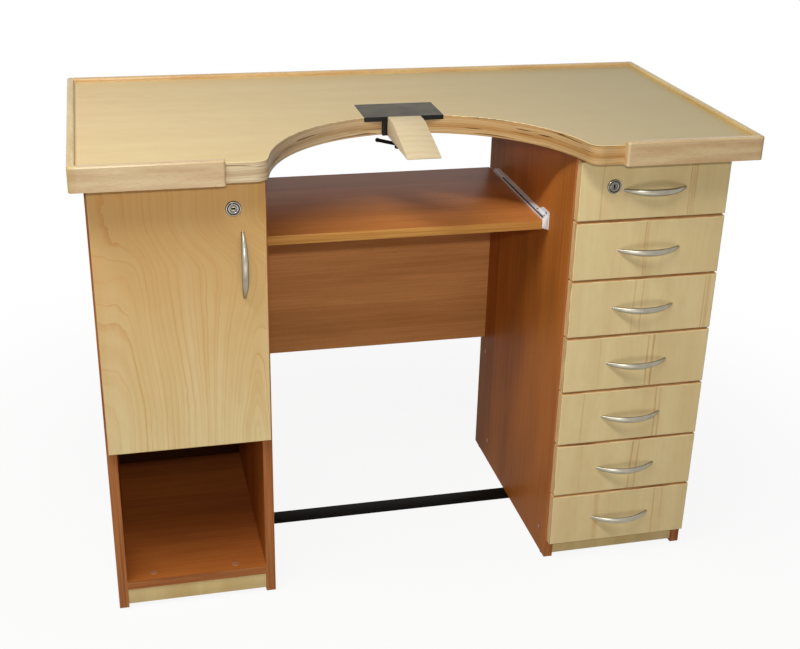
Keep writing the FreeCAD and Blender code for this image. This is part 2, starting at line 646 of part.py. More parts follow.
def bow_handle(label, x, z, standing=False):
    """A tapered bow handle: ellipses lofted along an arc, cut flush with the wood."""
    body = new_body(label)
    half = "(handle_span/2)"
    rise = "(handle_reach - handle_thickness/2)"
    radius = f"(({half}^2 + {rise}^2)/(2*{rise}))"
    sections = []
    for station in (-1.0, -0.5, 0.0, 0.5, 1.0):
        turn = f"({station}*1.05*asin({half}/{radius}))"
        fullness = 1 - station ** 2
        sketch = new_sketch(body, "YZ_Plane")
        sketch.AttachmentOffset = Placement(Vector(), Rotation(Y_AXIS, FIRST_GUESS))
        bind(sketch, "AttachmentOffset.Rotation.Angle", turn)
        bind(sketch, "AttachmentOffset.Base.x", f"{radius} - {rise} - {radius}*cos({turn})")
        bind(sketch, "AttachmentOffset.Base.z", f"{radius}*sin({turn})")
        ring = sketch.addGeometry(Part.Ellipse(Vector(0, 3, 0), Vector(2, 0, 0), Vector(0, 0, 0)), False)
        sketch.exposeInternalGeometry(ring)
        sketch.addConstraint(Sketcher.Constraint("Coincident", ring, 3, -1, 1))
        sketch.addConstraint(Sketcher.Constraint("Vertical", ring + 1))
        dimension(sketch, "Distance", (ring + 1,), 6.0,
                  f"handle_tip_width + (handle_width - handle_tip_width)*{fullness}")
        dimension(sketch, "Distance", (ring + 2,), 4.0,
                  f"handle_tip_thickness + (handle_thickness - handle_tip_thickness)*{fullness}")
        sections.append(sketch)
    loft = body.newObject("PartDesign::AdditiveLoft", label + "_loft")
    loft.Profile = sections[0]
    loft.Sections = sections[1:]
    wood = new_sketch(body, "XZ_Plane")
    rectangle(wood, "-handle_span", "-handle_width", "handle_span", "handle_width")
    flush = body.newObject("PartDesign::Pocket", label + "_flush")
    flush.Profile = wood
    flush.Type = "ThroughAll"
    if standing:
        body.Placement = Placement(Vector(), Rotation(Y_AXIS, 90))
    place(body, x, FACE, z)
    return node(label, body)


def lock_barrel(name, x, z):
    """The round cover and barrel of a lock, bored for its plug."""
    body = new_body(name)
    profile = new_sketch(body, "XY_Plane")
    bore = "(lock_plug_diameter/2 + lock_clearance)"
    cover = "(lock_rosette_diameter/2)"
    sleeve = "lock_barrel_diameter/2"
    polygon(profile, ((bore, "-0.6*lock_rosette_thickness"),
                      (f"{bore} + 0.3*({cover} - {bore})", "-lock_rosette_thickness"),
                      (f"{bore} + 0.75*({cover} - {bore})", "-lock_rosette_thickness"),
                      (cover, "-0.3*lock_rosette_thickness"), (cover, "0"), (sleeve, "0"),
                      (sleeve, "front_thickness + lock_barrel_tail"),
                      (bore, "front_thickness + lock_barrel_tail")))
    revolve(body, profile)
    place(body, x, FACE, z)
    return body


def lock_plug(name, x, z, cam_along, slot_along):
    """The plug of a lock with its key slot, and the cam behind the wood."""
    start = f"({FACE} - 0.4*lock_rosette_thickness)"
    cam_y = f"({FACE} + front_thickness + lock_barrel_tail + slide_clearance)"
    core = rod(name + "_core", (x, start, z), "lock_plug_diameter",
               f"{cam_y} + lock_cam_thickness - {start}", Y_AXIS)
    reach = "lock_cam_length + lock_cam_width/2"
    if cam_along == "down":
        corner = (f"{x} - lock_cam_width/2", cam_y, f"{z} - lock_cam_length")
        size = ("lock_cam_width", "lock_cam_thickness", reach)
    else:
        corner = (f"{x} - lock_cam_width/2", cam_y, f"{z} - lock_cam_width/2")
        size = (reach, "lock_cam_thickness", "lock_cam_width")
    cam = box(name + "_cam", corner, size)
    slot = ("keyway_width", "keyway_length")
    if slot_along == "across":
        slot = ("keyway_length", "keyway_width")
    keyway = box(name + "_keyway", (f"{x} - ({slot[0]})/2", f"{start} - {OVERCUT}", f"{z} - ({slot[1]})/2"),
                 (slot[0], f"keyway_depth + {OVERCUT}", slot[1]))
    return node(name, cut(name, fuse(name + "_turned", [core, cam]), keyway))


# ---------------------------------------------------------------- door

def front_board(name, x, z, width, height):
    """A plywood front with eased edges around its face."""
    body = new_body(name)
    outline = new_sketch(body, "XZ_Plane")
    rectangle(outline, "0", "0", width, height)
    board = pad(body, outline, "front_thickness", backwards=True)
    fillet(body, board, "front_edge_radius",
           lambda edge, limits: near(edge.BoundBox.YMax, limits.YMin))
    place(body, x, FACE, z)
    return body


def door():
    """The door with its lock, handle and hinge cups, and the hinge arms on the carcass."""
    left = f"({LEFT} + front_reveal)"
    free_edge = f"({left} + {FACE_WIDTH})"
    board = front_board("door_board", left, DOOR_BOTTOM, FACE_WIDTH, f"{FACE_TOP} - {DOOR_BOTTOM}")
    lock_x, lock_z = f"({free_edge} - door_lock_inset)", f"({FACE_TOP} - door_lock_drop)"
    node("door_lock_body", lock_barrel("door_lock_body", lock_x, lock_z))
    lock_plug("door_lock_plug", lock_x, lock_z, "down", "across")
    cups, seats, arms = [], [], []
    cup_y = f"({FACE} + front_thickness - hinge_cup_depth)"
    cup_x = f"({left} + hinge_cup_inset)"
    for end, z in (("lower", f"({DOOR_BOTTOM} + hinge_end_setback)"),
                   ("upper", f"({FACE_TOP} - hinge_end_setback)")):
        seats.append(rod(f"{end}_cup_seat", (cup_x, cup_y, z), "hinge_cup_diameter",
                         f"hinge_cup_depth + {OVERCUT}", Y_AXIS))
        shell = rod(f"{end}_cup_shell", (cup_x, cup_y, z), "hinge_cup_diameter", "hinge_cup_depth", Y_AXIS)
        hollow = rod(f"{end}_cup_hollow", (cup_x, f"{cup_y} + hinge_cup_wall", z),
                     "hinge_cup_diameter - 2*hinge_cup_wall", "hinge_cup_depth", Y_AXIS)
        cups.append(cut(f"{end}_cup", shell, hollow))
        wall = f"({LEFT} + board)"
        arm = box(f"{end}_hinge_bar", (wall, FRONT, f"{z} - hinge_arm_width/2"),
                  ("hinge_arm_thickness", "hinge_arm_length", "hinge_arm_width"))
        plate = box(f"{end}_hinge_plate", (wall, f"{FRONT} + hinge_arm_length - hinge_plate_length",
                                           f"{z} - hinge_plate_width/2"),
                    ("hinge_plate_thickness", "hinge_plate_length", "hinge_plate_width"))
        arms.append(fuse(f"{end}_hinge_arm", [arm, plate]))
    bores = group("door_bores", [barrel_room("door", lock_x, lock_z)] + seats)
    node("cabinet_door", cut("cabinet_door", board, bores))
    node("hinge_cups", group("hinge_cups", cups))
    node("hinge_arms", group("hinge_arms", arms))
    bow_handle("door_handle", f"{free_edge} - door_handle_inset", f"{FACE_TOP} - door_handle_drop",
               standing=True)


def barrel_room(name, x, z):
    """The hole through a front for a lock's barrel."""
    return rod(f"{name}_lock_hole", (x, f"{FACE} - {OVERCUT}", z), "lock_barrel_diameter",
               f"front_thickness + {2 * OVERCUT}", Y_AXIS)


# ---------------------------------------------------------------- drawers

def drawer_box(name, z, front):
    """Sides, back and grooved-in bottom of one drawer; returns the box and the grooved front."""
    left = f"({RIGHT} + board + slide_gap)"
    y = f"({FRONT} - front_clearance)"
    low = f"({z} + {BOX_LIFT})"
    inner = f"({BOX_WIDTH} - 2*drawer_side_thickness)"
    length = BOX_LENGTH
    bottom = box(name + "_bottom",
                 (f"{left} + drawer_side_thickness - drawer_groove", f"{y} - drawer_groove",
                  f"{low} + drawer_bottom_lift"),
                 (f"{inner} + 2*drawer_groove", f"{length} - drawer_side_thickness + 2*drawer_groove",
                  "drawer_bottom_thickness"))
    walls = [box(name + "_left", (left, y, low), ("drawer_side_thickness", length, BOX_HEIGHT)),
             box(name + "_right", (f"{left} + {BOX_WIDTH} - drawer_side_thickness", y, low),
                 ("drawer_side_thickness", length, BOX_HEIGHT)),
             box(name + "_back", (f"{left} + drawer_side_thickness",
                                  f"{y} + {length} - drawer_side_thickness", low),
                 (inner, "drawer_side_thickness", f"{BOX_HEIGHT} - drawer_back_drop"))]
    grooved = [cut(wall.Name + "_grooved", wall, bottom) for wall in walls]
    return group(name + "_box", grooved + [bottom]), cut(name + "_front", front, bottom)


def drawers():
    """The bank of drawers, numbered from the top; returns the fixed rails."""
    fixed_rails = []
    front_left = f"({RIGHT} + front_reveal)"
    for number in range(1, int(value("drawer_count")) + 1):
        name = f"drawer_{number}"
        z = f"({FACE_TOP} + drawer_front_gap - {number}*{DRAWER_PITCH})"
        front = front_board(name + "_face", front_left, z, FACE_WIDTH, DRAWER_HEIGHT)
        if number == 1:
            lock_x, lock_z = f"({front_left} + drawer_lock_inset)", f"({FACE_TOP} - drawer_lock_drop)"
            node("drawer_1_lock_body", lock_barrel("drawer_1_lock_body", lock_x, lock_z))
            lock_plug("drawer_1_lock_plug", lock_x, lock_z, "right", "up")
            front = cut(name + "_bored", front, barrel_room(name, lock_x, lock_z))
        sides, face = drawer_box(name, z, front)
        node(name + "_front", face)
        node(name + "_box", sides)
        bow_handle(name + "_handle", f"{RIGHT} + pedestal_width/2", f"{z} + {DRAWER_HEIGHT}/2")
        middle = f"({z} + {BOX_LIFT} + slide_rise)"
        fixed, moving = slide_pair(name + "_rail", f"({RIGHT} + board)",
                                   f"({RIGHT} + pedestal_width - board)", FRONT, middle,
                                   f"({BOX_LENGTH} - slide_end_gap)", "slide_height")
        fixed_rails += fixed
        node(name + "_runners", group(name + "_runners", moving))
    return fixed_rails


# ---------------------------------------------------------------- anvil, clamp and bench pin

def bench_anvil():
    """The steel plate with the pin's socket and the clamp's frame, welded to one piece."""
    body = new_body("anvil_plate")
    outline = new_sketch(body, "XY_Plane")
    rectangle(outline, "-anvil_width/2", PLATE_FRONT, "anvil_width/2", f"{PLATE_FRONT} + anvil_depth")
    slab = pad(body, outline, "anvil_thickness")
    fillet(body, slab, "anvil_edge", lambda edge, limits: near(edge.BoundBox.ZMin, limits.ZMax))
    place(body, "anvil_shift", "0", PLATE_SEAT)
    cheek = f"({SOCKET_HALF} + cheek_thickness)"
    cheek_size = ("cheek_thickness", "socket_depth", f"{PLATE_SEAT} - {PIN_BOTTOM}")
    web_y = f"({PLATE_FRONT} + socket_depth)"
    arm_bottom = f"({ARM_TOP} - arm_thickness)"
    arm_left = "anvil_shift - arm_width/2"
    parts = [body,
             box("left_cheek", (f"anvil_shift - {cheek}", PLATE_FRONT, PIN_BOTTOM), cheek_size),
             box("right_cheek", (f"anvil_shift + {SOCKET_HALF}", PLATE_FRONT, PIN_BOTTOM), cheek_size),
             box("socket_base", (f"anvil_shift - {SOCKET_HALF}", PLATE_FRONT, PIN_BOTTOM),
                 (f"2*{SOCKET_HALF}", "socket_depth", "socket_floor")),
             box("socket_wall", (f"anvil_shift - {cheek}", web_y, PIN_BOTTOM),
                 (f"2*{cheek}", "web_thickness", f"{PLATE_SEAT} - {PIN_BOTTOM}")),
             box("clamp_web", (arm_left, web_y, arm_bottom),
                 ("arm_width", "web_thickness", f"{PLATE_SEAT} - {arm_bottom}")),
             box("clamp_arm", (arm_left, web_y, arm_bottom),
                 ("arm_width", f"{CLAMP_Y} + arm_margin - {web_y}", "arm_thickness"))]
    thread = rod("arm_bore", ("anvil_shift", CLAMP_Y, f"{arm_bottom} - {OVERCUT}"),
                 "clamp_screw_diameter + 2*clamp_fit", f"arm_thickness + {2 * OVERCUT}")
    node("bench_anvil", cut("bench_anvil", fuse("anvil_welded", parts), thread))


def clamp_screw():
    """The pad, the screw with its cross-drilled head, and the tommy bar through it."""
    pad_z = f"({UNDERSIDE} - pad_thickness)"
    disc = rod("pad_disc", ("anvil_shift", CLAMP_Y, pad_z), "pad_diameter", "pad_thickness")
    seat = rod("pad_seat", ("anvil_shift", CLAMP_Y, f"{pad_z} - {OVERCUT}"),
               "clamp_nose_diameter + 2*clamp_fit", f"clamp_nose_length + clamp_fit + {OVERCUT}")
    node("clamp_pad", cut("clamp_pad", disc, seat))

    body = new_body("screw_turned")
    profile = new_sketch(body, "XZ_Plane")
    shoulder = f"({pad_z} - clamp_fit - {HEAD_TOP})"
    tip = f"({shoulder} + clamp_nose_length)"
    polygon(profile, (("0", "-clamp_head_height"), ("clamp_head_diameter/2", "-clamp_head_height"),
                      ("clamp_head_diameter/2", "0"), ("clamp_screw_diameter/2", "0"),
                      ("clamp_screw_diameter/2", shoulder), ("clamp_nose_diameter/2", shoulder),
                      ("clamp_nose_diameter/2", tip), ("0", tip)))
    revolve(body, profile)
    place(body, "anvil_shift", CLAMP_Y, HEAD_TOP)
    turn = math.radians(value("tommy_angle"))
    along = Vector(math.cos(turn), math.sin(turn), 0)

    def on_bar(distance):
        return (f"anvil_shift + {along.x}*({distance})", f"{CLAMP_Y} + {along.y}*({distance})", TOMMY_Z)

    bore = rod("tommy_bore", on_bar("-clamp_head_diameter"), "tommy_diameter + 2*clamp_fit",
               "2*clamp_head_diameter", along)
    node("clamp_screw", cut("clamp_screw", body, bore))
    low_end, high_end = "tommy_shift - tommy_length/2", "tommy_shift + tommy_length/2"
    parts = [rod("tommy_rod", on_bar(low_end), "tommy_diameter", "tommy_length", along)]
    for end, distance in (("low", low_end), ("high", high_end)):
        knob = doc.addObject("Part::Sphere", f"tommy_{end}_knob")
        bind(knob, "Radius", "tommy_knob_diameter/2")
        place(knob, *on_bar(distance))
        parts.append(knob)
    node("tommy_bar", fuse("tommy_bar", parts))


def bench_pin():
    """The wooden wedge: a tail in the socket, a level shoulder and a long slope to the tip."""
    body = new_body("bench_pin")
    outline = new_sketch(body, "YZ_Plane")
    heel = f"({PLATE_FRONT} - pin_fit)"
    tail = f"({PLATE_FRONT} + socket_depth - pin_fit)"
    tail_low = f"({PIN_BOTTOM} + socket_floor + pin_fit)"
    tail_high = f"({PLATE_SEAT} - pin_fit)"
    tip = f"({PLATE_FRONT} - pin_length)"
    polygon(outline, ((tail, tail_low), (heel, tail_low), (heel, PIN_BOTTOM), (tip, PIN_BOTTOM),
                      (tip, f"{PIN_BOTTOM} + pin_tip"), (f"{PLATE_FRONT} - pin_flat", PLATE_TOP),
                      (heel, PLATE_TOP), (heel, tail_high), (tail, tail_high)))
    wedge = pad(body, outline, "pin_width", midplane=True)

    def at_knee(edge, limits):
        across = near(edge.BoundBox.YLength, 0) and near(edge.BoundBox.ZMin, limits.ZMax)
        behind = limits.YMax - edge.CenterOfMass.y
        return across and behind > value("socket_depth") + value("pin_flat") / 2

    fillet(body, wedge, "pin_knee_radius", at_knee)
    place(body, "anvil_shift", "0", "0")
    node("bench_pin", body)


# ---------------------------------------------------------------- build and write

def build():
    """Make every sub-part of the bench."""
    make_sheet()
    screws = cabinet_screws()
    worktop(screws)
    edge_trims()
    side_panels(screws)
    inner_boards(screws)
    knee_space(screws)
    floor_glides()
    door()
    fixed_rails = drawers() + tray()
    node("slide_rails", group("slide_rails", fixed_rails))
    bench_anvil()
    clamp_screw()
    bench_pin()
    doc.recompute()


def check():
    """Stop if an object failed or a sub-part is empty or broken."""
    failed = [item.Name for item in doc.Objects if {"Invalid", "Error"} & set(item.State)]
    if failed:
        raise RuntimeError("failed objects: " + ", ".join(failed))
    for label, thing in nodes.items():
        if thing.Label != label:
            raise RuntimeError(f"{label} is labelled {thing.Label}")
        if thing.Shape.isNull() or not thing.Shape.isValid() or not thing.Shape.Solids:
            raise RuntimeError(f"{label} has no valid solid")


def write():
    """Write one STEP file for each sub-part."""
    os.makedirs("parts", exist_ok=True)
    for label, thing in nodes.items():
        thing.Shape.exportStep(f"parts/{label}.step")
    print(len(nodes), "sub-parts,", sum(len(thing.Shape.Solids) for thing in nodes.values()), "solids")


build()
check()
write()
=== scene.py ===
"""The looks of a jeweller's bench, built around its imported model.

The frame gives every board, hinge, slide and lock at its real place. This script eases the edges of
the plain boards, gives all of them their finishes, builds the handles, locks, hinges and small
fittings in detail, and sets up the light and the camera. Sizes of pieces are millimetres, and MM
turns them into metres. What a material reads off the surface, and the places of the lamps and the
camera, are in metres. The front of the bench looks along -Y.
"""

import json
import logging
import math
from collections.abc import Callable, Iterator
from contextlib import contextmanager
from dataclasses import dataclass, field
from enum import Enum, IntEnum

import bmesh
import bpy
from mathutils import Matrix, Vector

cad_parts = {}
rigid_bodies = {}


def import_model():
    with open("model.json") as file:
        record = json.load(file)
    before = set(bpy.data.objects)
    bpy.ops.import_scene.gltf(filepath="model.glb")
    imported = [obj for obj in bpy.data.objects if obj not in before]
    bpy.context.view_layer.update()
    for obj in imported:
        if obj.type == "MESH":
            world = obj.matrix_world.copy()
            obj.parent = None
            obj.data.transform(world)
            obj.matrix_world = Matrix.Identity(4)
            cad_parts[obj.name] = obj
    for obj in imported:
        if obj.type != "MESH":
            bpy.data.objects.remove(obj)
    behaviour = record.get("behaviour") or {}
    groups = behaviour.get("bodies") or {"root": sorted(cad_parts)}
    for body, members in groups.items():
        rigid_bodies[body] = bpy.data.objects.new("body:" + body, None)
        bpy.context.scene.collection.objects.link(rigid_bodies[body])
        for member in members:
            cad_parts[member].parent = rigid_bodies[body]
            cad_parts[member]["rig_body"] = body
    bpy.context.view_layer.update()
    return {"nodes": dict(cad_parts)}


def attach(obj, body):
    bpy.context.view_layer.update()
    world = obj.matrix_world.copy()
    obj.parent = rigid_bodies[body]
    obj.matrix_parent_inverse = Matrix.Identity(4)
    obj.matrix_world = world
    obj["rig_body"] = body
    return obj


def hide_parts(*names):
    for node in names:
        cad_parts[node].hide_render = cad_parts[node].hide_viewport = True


LOG = logging.getLogger("jewellers_bench")
MM = 0.001
WHITE = "#FFFFFF"
SMOOTH_UNDER = math.radians(35)
FLAT_UNDER = math.radians(0.5)
EDGE_OVER = math.radians(40)
WELD_BOARD = 0.001
WELD_TURNED = 0.002
ALIGNED = 0.9
# How much of a normal points along Y where a face looks fully forward, and where it just starts to.
FORWARD = (-0.8, -0.6)
# How far a Wave Texture of scale 1 turns in a metre, in radians.
WAVE_TURN = 20

Point = tuple[float, float, float]
Thing = bpy.types.Object
Socket = bpy.types.NodeSocket
Tree = bpy.types.NodeTree
Outputs = bpy.types.bpy_prop_collection
Colour = Socket | str


class Axis(Enum):
    """A direction of the bench, as the outputs of a Separate XYZ node name it."""

    X = "X"
    Y = "Y"
    Z = "Z"


class MixSocket(IntEnum):
    """Where a Mix node keeps its sockets for colours."""

    SHARE = 0
    LOW = 6
    HIGH = 7
    COLOUR = 2


class Way(Enum):
    """Which way the axis of a turned piece points, and the turn that points a circle there."""

    UP = ((0, 0, 1), (0.0, 0.0, 0.0))
    FRONT = ((0, -1, 0), (math.pi / 2, 0.0, 0.0))
    BACK = ((0, 1, 0), (-math.pi / 2, 0.0, 0.0))
    LEFT = ((-1, 0, 0), (0.0, -math.pi / 2, 0.0))
    RIGHT = ((1, 0, 0), (0.0, math.pi / 2, 0.0))


class Slot(Enum):
    """The material slots of the record, one of which is given for each new piece."""

    TRIM = "solid_trim"
    FRONT = "plywood_front"
    LAMINATE = "cherry_laminate"
    NICKEL = "nickel"
    CHROME = "chrome"
    ZINC = "zinc"
    BLACK = "black_steel"
    TOOL = "tool_steel"
    MAPLE = "maple"
    CAP = "cap"


# ---------------------------------------------------------------- nodes and colours


def linear(colour: str) -> tuple[float, float, float, float]:
    """Turns an sRGB colour into the linear values that shaders take.

    Args:
        colour: the colour as #RRGGBB.

    Returns:
        Linear red, green and blue, with a full alpha.
    """
    channels = [int(colour[start:start + 2], 16) / 255 for start in (1, 3, 5)]
    curve = [c / 12.92 if c <= 0.04045 else ((c + 0.055) / 1.055) ** 2.4 for c in channels]
    return (*curve, 1.0)


def add_node(tree: Tree, kind: str, inputs: dict | tuple = (), ramp: tuple = (), **settings) -> Outputs:
    """Adds a shader node with its settings and links.

    Args:
        tree: the node tree to add to.
        kind: the node's type, without its leading ShaderNode.
        inputs: for each input, in order or by name, the socket that feeds it or its own value.
        ramp: for a colour ramp, its (position, colour) stops.
        settings: the node's own properties.

    Returns:
        The new node's outputs.
    """
    node = tree.nodes.new("ShaderNode" + kind)
    for name, setting in settings.items():
        setattr(node, name, setting)
    pairs = inputs.items() if isinstance(inputs, dict) else enumerate(inputs)
    for key, given in pairs:
        if isinstance(given, Socket):
            tree.links.new(given, node.inputs[key])
        elif isinstance(given, str):
            node.inputs[key].default_value = linear(given)
        else:
            node.inputs[key].default_value = given
    for number, (position, colour) in enumerate(ramp):
        stops = node.color_ramp.elements
        stop = stops[number] if number < 2 else stops.new(position)
        stop.position = position
        stop.color = linear(colour)
    return node.outputs


def layered(tree: Tree, ground: Colour, *coats: tuple[Socket, Colour]) -> Socket:
    """Lays coats of colour over a ground, one after another.

    Args:
        tree: the material's tree.
        ground: the colour below.
        coats: for each coat, how much it covers, from 0 to 1, and its colour.

    Returns:
        The colour on top.
    """
    for share, colour in coats:
        pair = {MixSocket.SHARE: share, MixSocket.LOW: ground, MixSocket.HIGH: colour}
        ground = add_node(tree, "Mix", pair, data_type="RGBA")[MixSocket.COLOUR]
    return ground


@dataclass(frozen=True)
class BoardAxes:
    """How a board lies: along its grain, across it on the face, and through its thickness."""

    along: Axis
    across: Axis
    through: Axis

    def coordinates(self, tree: Tree, shift: Point) -> Socket:
        """Gives the place on the board as (along, across, through).

        Args:
            tree: the material's tree.
            shift: moves the pattern, so that two boards never show the same figure.

        Returns:
            The shifted place, in metres.
        """
        place = add_node(tree, "TexCoord")["Object"]
        parts = add_node(tree, "SeparateXYZ", (place,))
        order = tuple(parts[axis.value] for axis in (self.along, self.across, self.through))
        turned = add_node(tree, "CombineXYZ", order)[0]
        return add_node(tree, "Mapping", (turned, shift))[0]

    def facing(self, tree: Tree) -> Socket:
        """Gives how squarely the surface faces out of the board: 1 on its faces, 0 on its edges.

        Args:
            tree: the material's tree.

        Returns:
            The size of the normal's part through the board.
        """
        normal = add_node(tree, "TexCoord")["Normal"]
        part = add_node(tree, "SeparateXYZ", (normal,))[self.through.value]
        return add_node(tree, "Math", (part,), operation="ABSOLUTE")[0]


LYING = BoardAxes(Axis.X, Axis.Y, Axis.Z)
STANDING_FRONT = BoardAxes(Axis.Z, Axis.X, Axis.Y)
STANDING_SIDE = BoardAxes(Axis.Z, Axis.Y, Axis.X)
LYING_FRONT = BoardAxes(Axis.X, Axis.Z, Axis.Y)
LYING_SIDE = BoardAxes(Axis.Y, Axis.Z, Axis.X)


@dataclass(frozen=True)
class Finish:
    """What every finish has: a name and the way it makes its material."""

    name: str

    def paint(self, tree: Tree) -> dict:
        """Gives the Principled shader's inputs; each finish has its own."""
        raise NotImplementedError

    def material(self) -> bpy.types.Material:
        """Builds the material.

        Returns:
            A material with one Principled shader.
        """
        material = bpy.data.materials.new(self.name)
        material.use_nodes = True
        tree = material.node_tree
        tree.nodes.clear()
        shader = add_node(tree, "BsdfPrincipled", self.paint(tree))
        add_node(tree, "OutputMaterial", (shader[0],))
        return material


def streaks(
        tree: Tree, place: Socket, along: float, across: float, detail: float = 3.0,
        levels: tuple[float, ...] = ()) -> Socket:
    """Gives a noise stretched along the grain.

    Args:
        tree: the material's tree.
        place: the place as (along, across, through).
        along: length of a streak, in millimetres.
        across: width of a streak, in millimetres.
        detail: how many finer layers the noise has.
        levels: a low and a high level of the noise, and what they become if that isn't 0 and 1.

    Returns:
        The noise, 0 to 1 around 0.5, or what its levels become.
    """
    scale = (1000 / along, 1000 / across, 1000 / across)
    stretched = add_node(tree, "Mapping", {0: place, "Scale": scale})[0]
    noise = add_node(tree, "TexNoise", {"Vector": stretched, "Scale": 1.0, "Detail": detail})[0]
    return add_node(tree, "MapRange", (noise, *levels))[0] if levels else noise


def wandering(tree: Tree, place: Socket, size: Point, reach: float, full: float = 0.2) -> Socket:
    """Gives how far a line wanders to either side as it runs along the board.

    Args:
        tree: the material's tree.
        place: the place as (along, across, through).
        size: a bend's length and width, in millimetres, and how many finer layers it has.
        reach: how far the line wanders, in millimetres.
        full: the noise's level at which the reach is full.

    Returns:
        The offset, in metres.
    """
    return streaks(tree, place, *size, levels=(full, 1 - full, -reach * MM, reach * MM))


# ---------------------------------------------------------------- wood finishes


@dataclass(frozen=True)
class Board(Finish):
    """What every board's finish has: how the board lies, its two tones, its shine and raised pores."""

    axes: BoardAxes = LYING
    shift: Point = (0.0, 0.0, 0.0)
    light: str = WHITE
    dark: str = WHITE
    fleck: str = WHITE
    roughness: float = 0.42
    specular: float = 0.15
    pores: tuple[float, float] = (12, 0.6)
    pore_depth: float = 0.05
    pore_strength: float = 0.4

    def colour(self, tree: Tree, place: Socket) -> Socket:
        """Gives the board's colour; each kind of board has its own.

        Args:
            tree: the material's tree.
            place: the place as (along, across, through).

        Returns:
            The colour.
        """
        raise NotImplementedError

    def paint(self, tree: Tree) -> dict:
        """Gives the shader's inputs."""
        place = self.axes.coordinates(tree, self.shift)
        pores = streaks(tree, place, *self.pores)
        raised = {"Height": pores, "Distance": self.pore_depth * MM, "Strength": self.pore_strength}
        return {
            "Base Color": self.colour(tree, place),
            "Roughness": self.roughness,
            "Specular IOR Level": self.specular,
            "Normal": add_node(tree, "Bump", raised)[0],
        }


@dataclass(frozen=True)
class PlyEdge:
    """The sawn edge of birch plywood: light and tan plies between thin dark glue lines.

    A ply is its thickness in millimetres, a line is its glue line's share of that, and gaps says how
    common the gaps in its core are. The scales count the noise's repeats in a metre of the board.
    """

    ply: float = 1.5
    light: str = "#E8C88E"
    dark: str = "#C08F50"
    glue: str = "#6B4423"
    gap: str = "#3A2412"
    gaps: float = 0.5
    line: float = 0.3
    swing: float = 0.3
    fibre_scale: Point = (14.0, 14.0, 1100.0)
    gap_scale: Point = (11.0, 11.0, 300.0)
    gap_level: float = 0.69
    gap_step: float = 0.07
    gap_soft: float = 0.025
    ground: float = 0.12

    def colour(self, tree: Tree, place: Socket) -> Socket:
        """Gives the edge's colour.

        Args:
            tree: the material's tree.
            place: the place as (along, across, through).

        Returns:
            The colour.
        """
        depth = add_node(tree, "SeparateXYZ", (place,))[2]
        drift = wandering(tree, place, (90, 60, 2.0), self.swing * self.ply, 0.3)
        bent = add_node(tree, "Math", (depth, drift), operation="ADD")[0]
        count = add_node(tree, "Math", (bent, self.ply * MM), operation="DIVIDE")[0]
        layer = add_node(tree, "Math", (count,), operation="FLOOR")[0]
        part = add_node(tree, "Math", (count,), operation="FRACT")[0]
        tone = add_node(tree, "TexWhiteNoise", {"W": layer}, noise_dimensions="1D")["Value"]
        lines = add_node(tree, "Mapping", {0: place, "Scale": self.fibre_scale})[0]
        fibre = add_node(tree, "TexNoise", {"Vector": lines, "Scale": 1.0, "Detail": 4.0})[0]
        shade = add_node(tree, "Math", (tone, fibre, self.ground), operation="MULTIPLY_ADD")[0]
        shade = add_node(tree, "MapRange", (shade, self.ground, self.ground + 0.5))[0]
        line = add_node(tree, "MapRange", (part, 0.0, self.line, 0.6, 0.0))[0]
        # A core veneer that stops short leaves a dark gap, a few centimetres long and one ply high.
        chance = add_node(tree, "Mapping", {0: place, "Scale": self.gap_scale})[0]
        chance = add_node(tree, "TexNoise", {"Vector": chance, "Scale": 1.0, "Detail": 1.0})[0]
        edge = self.gap_level - self.gap_step * self.gaps
        missing = add_node(tree, "MapRange", (chance, edge, edge + self.gap_soft, 0.0, 0.8))[0]
        return layered(tree, self.light, (shade, self.dark), (line, self.glue), (missing, self.gap))


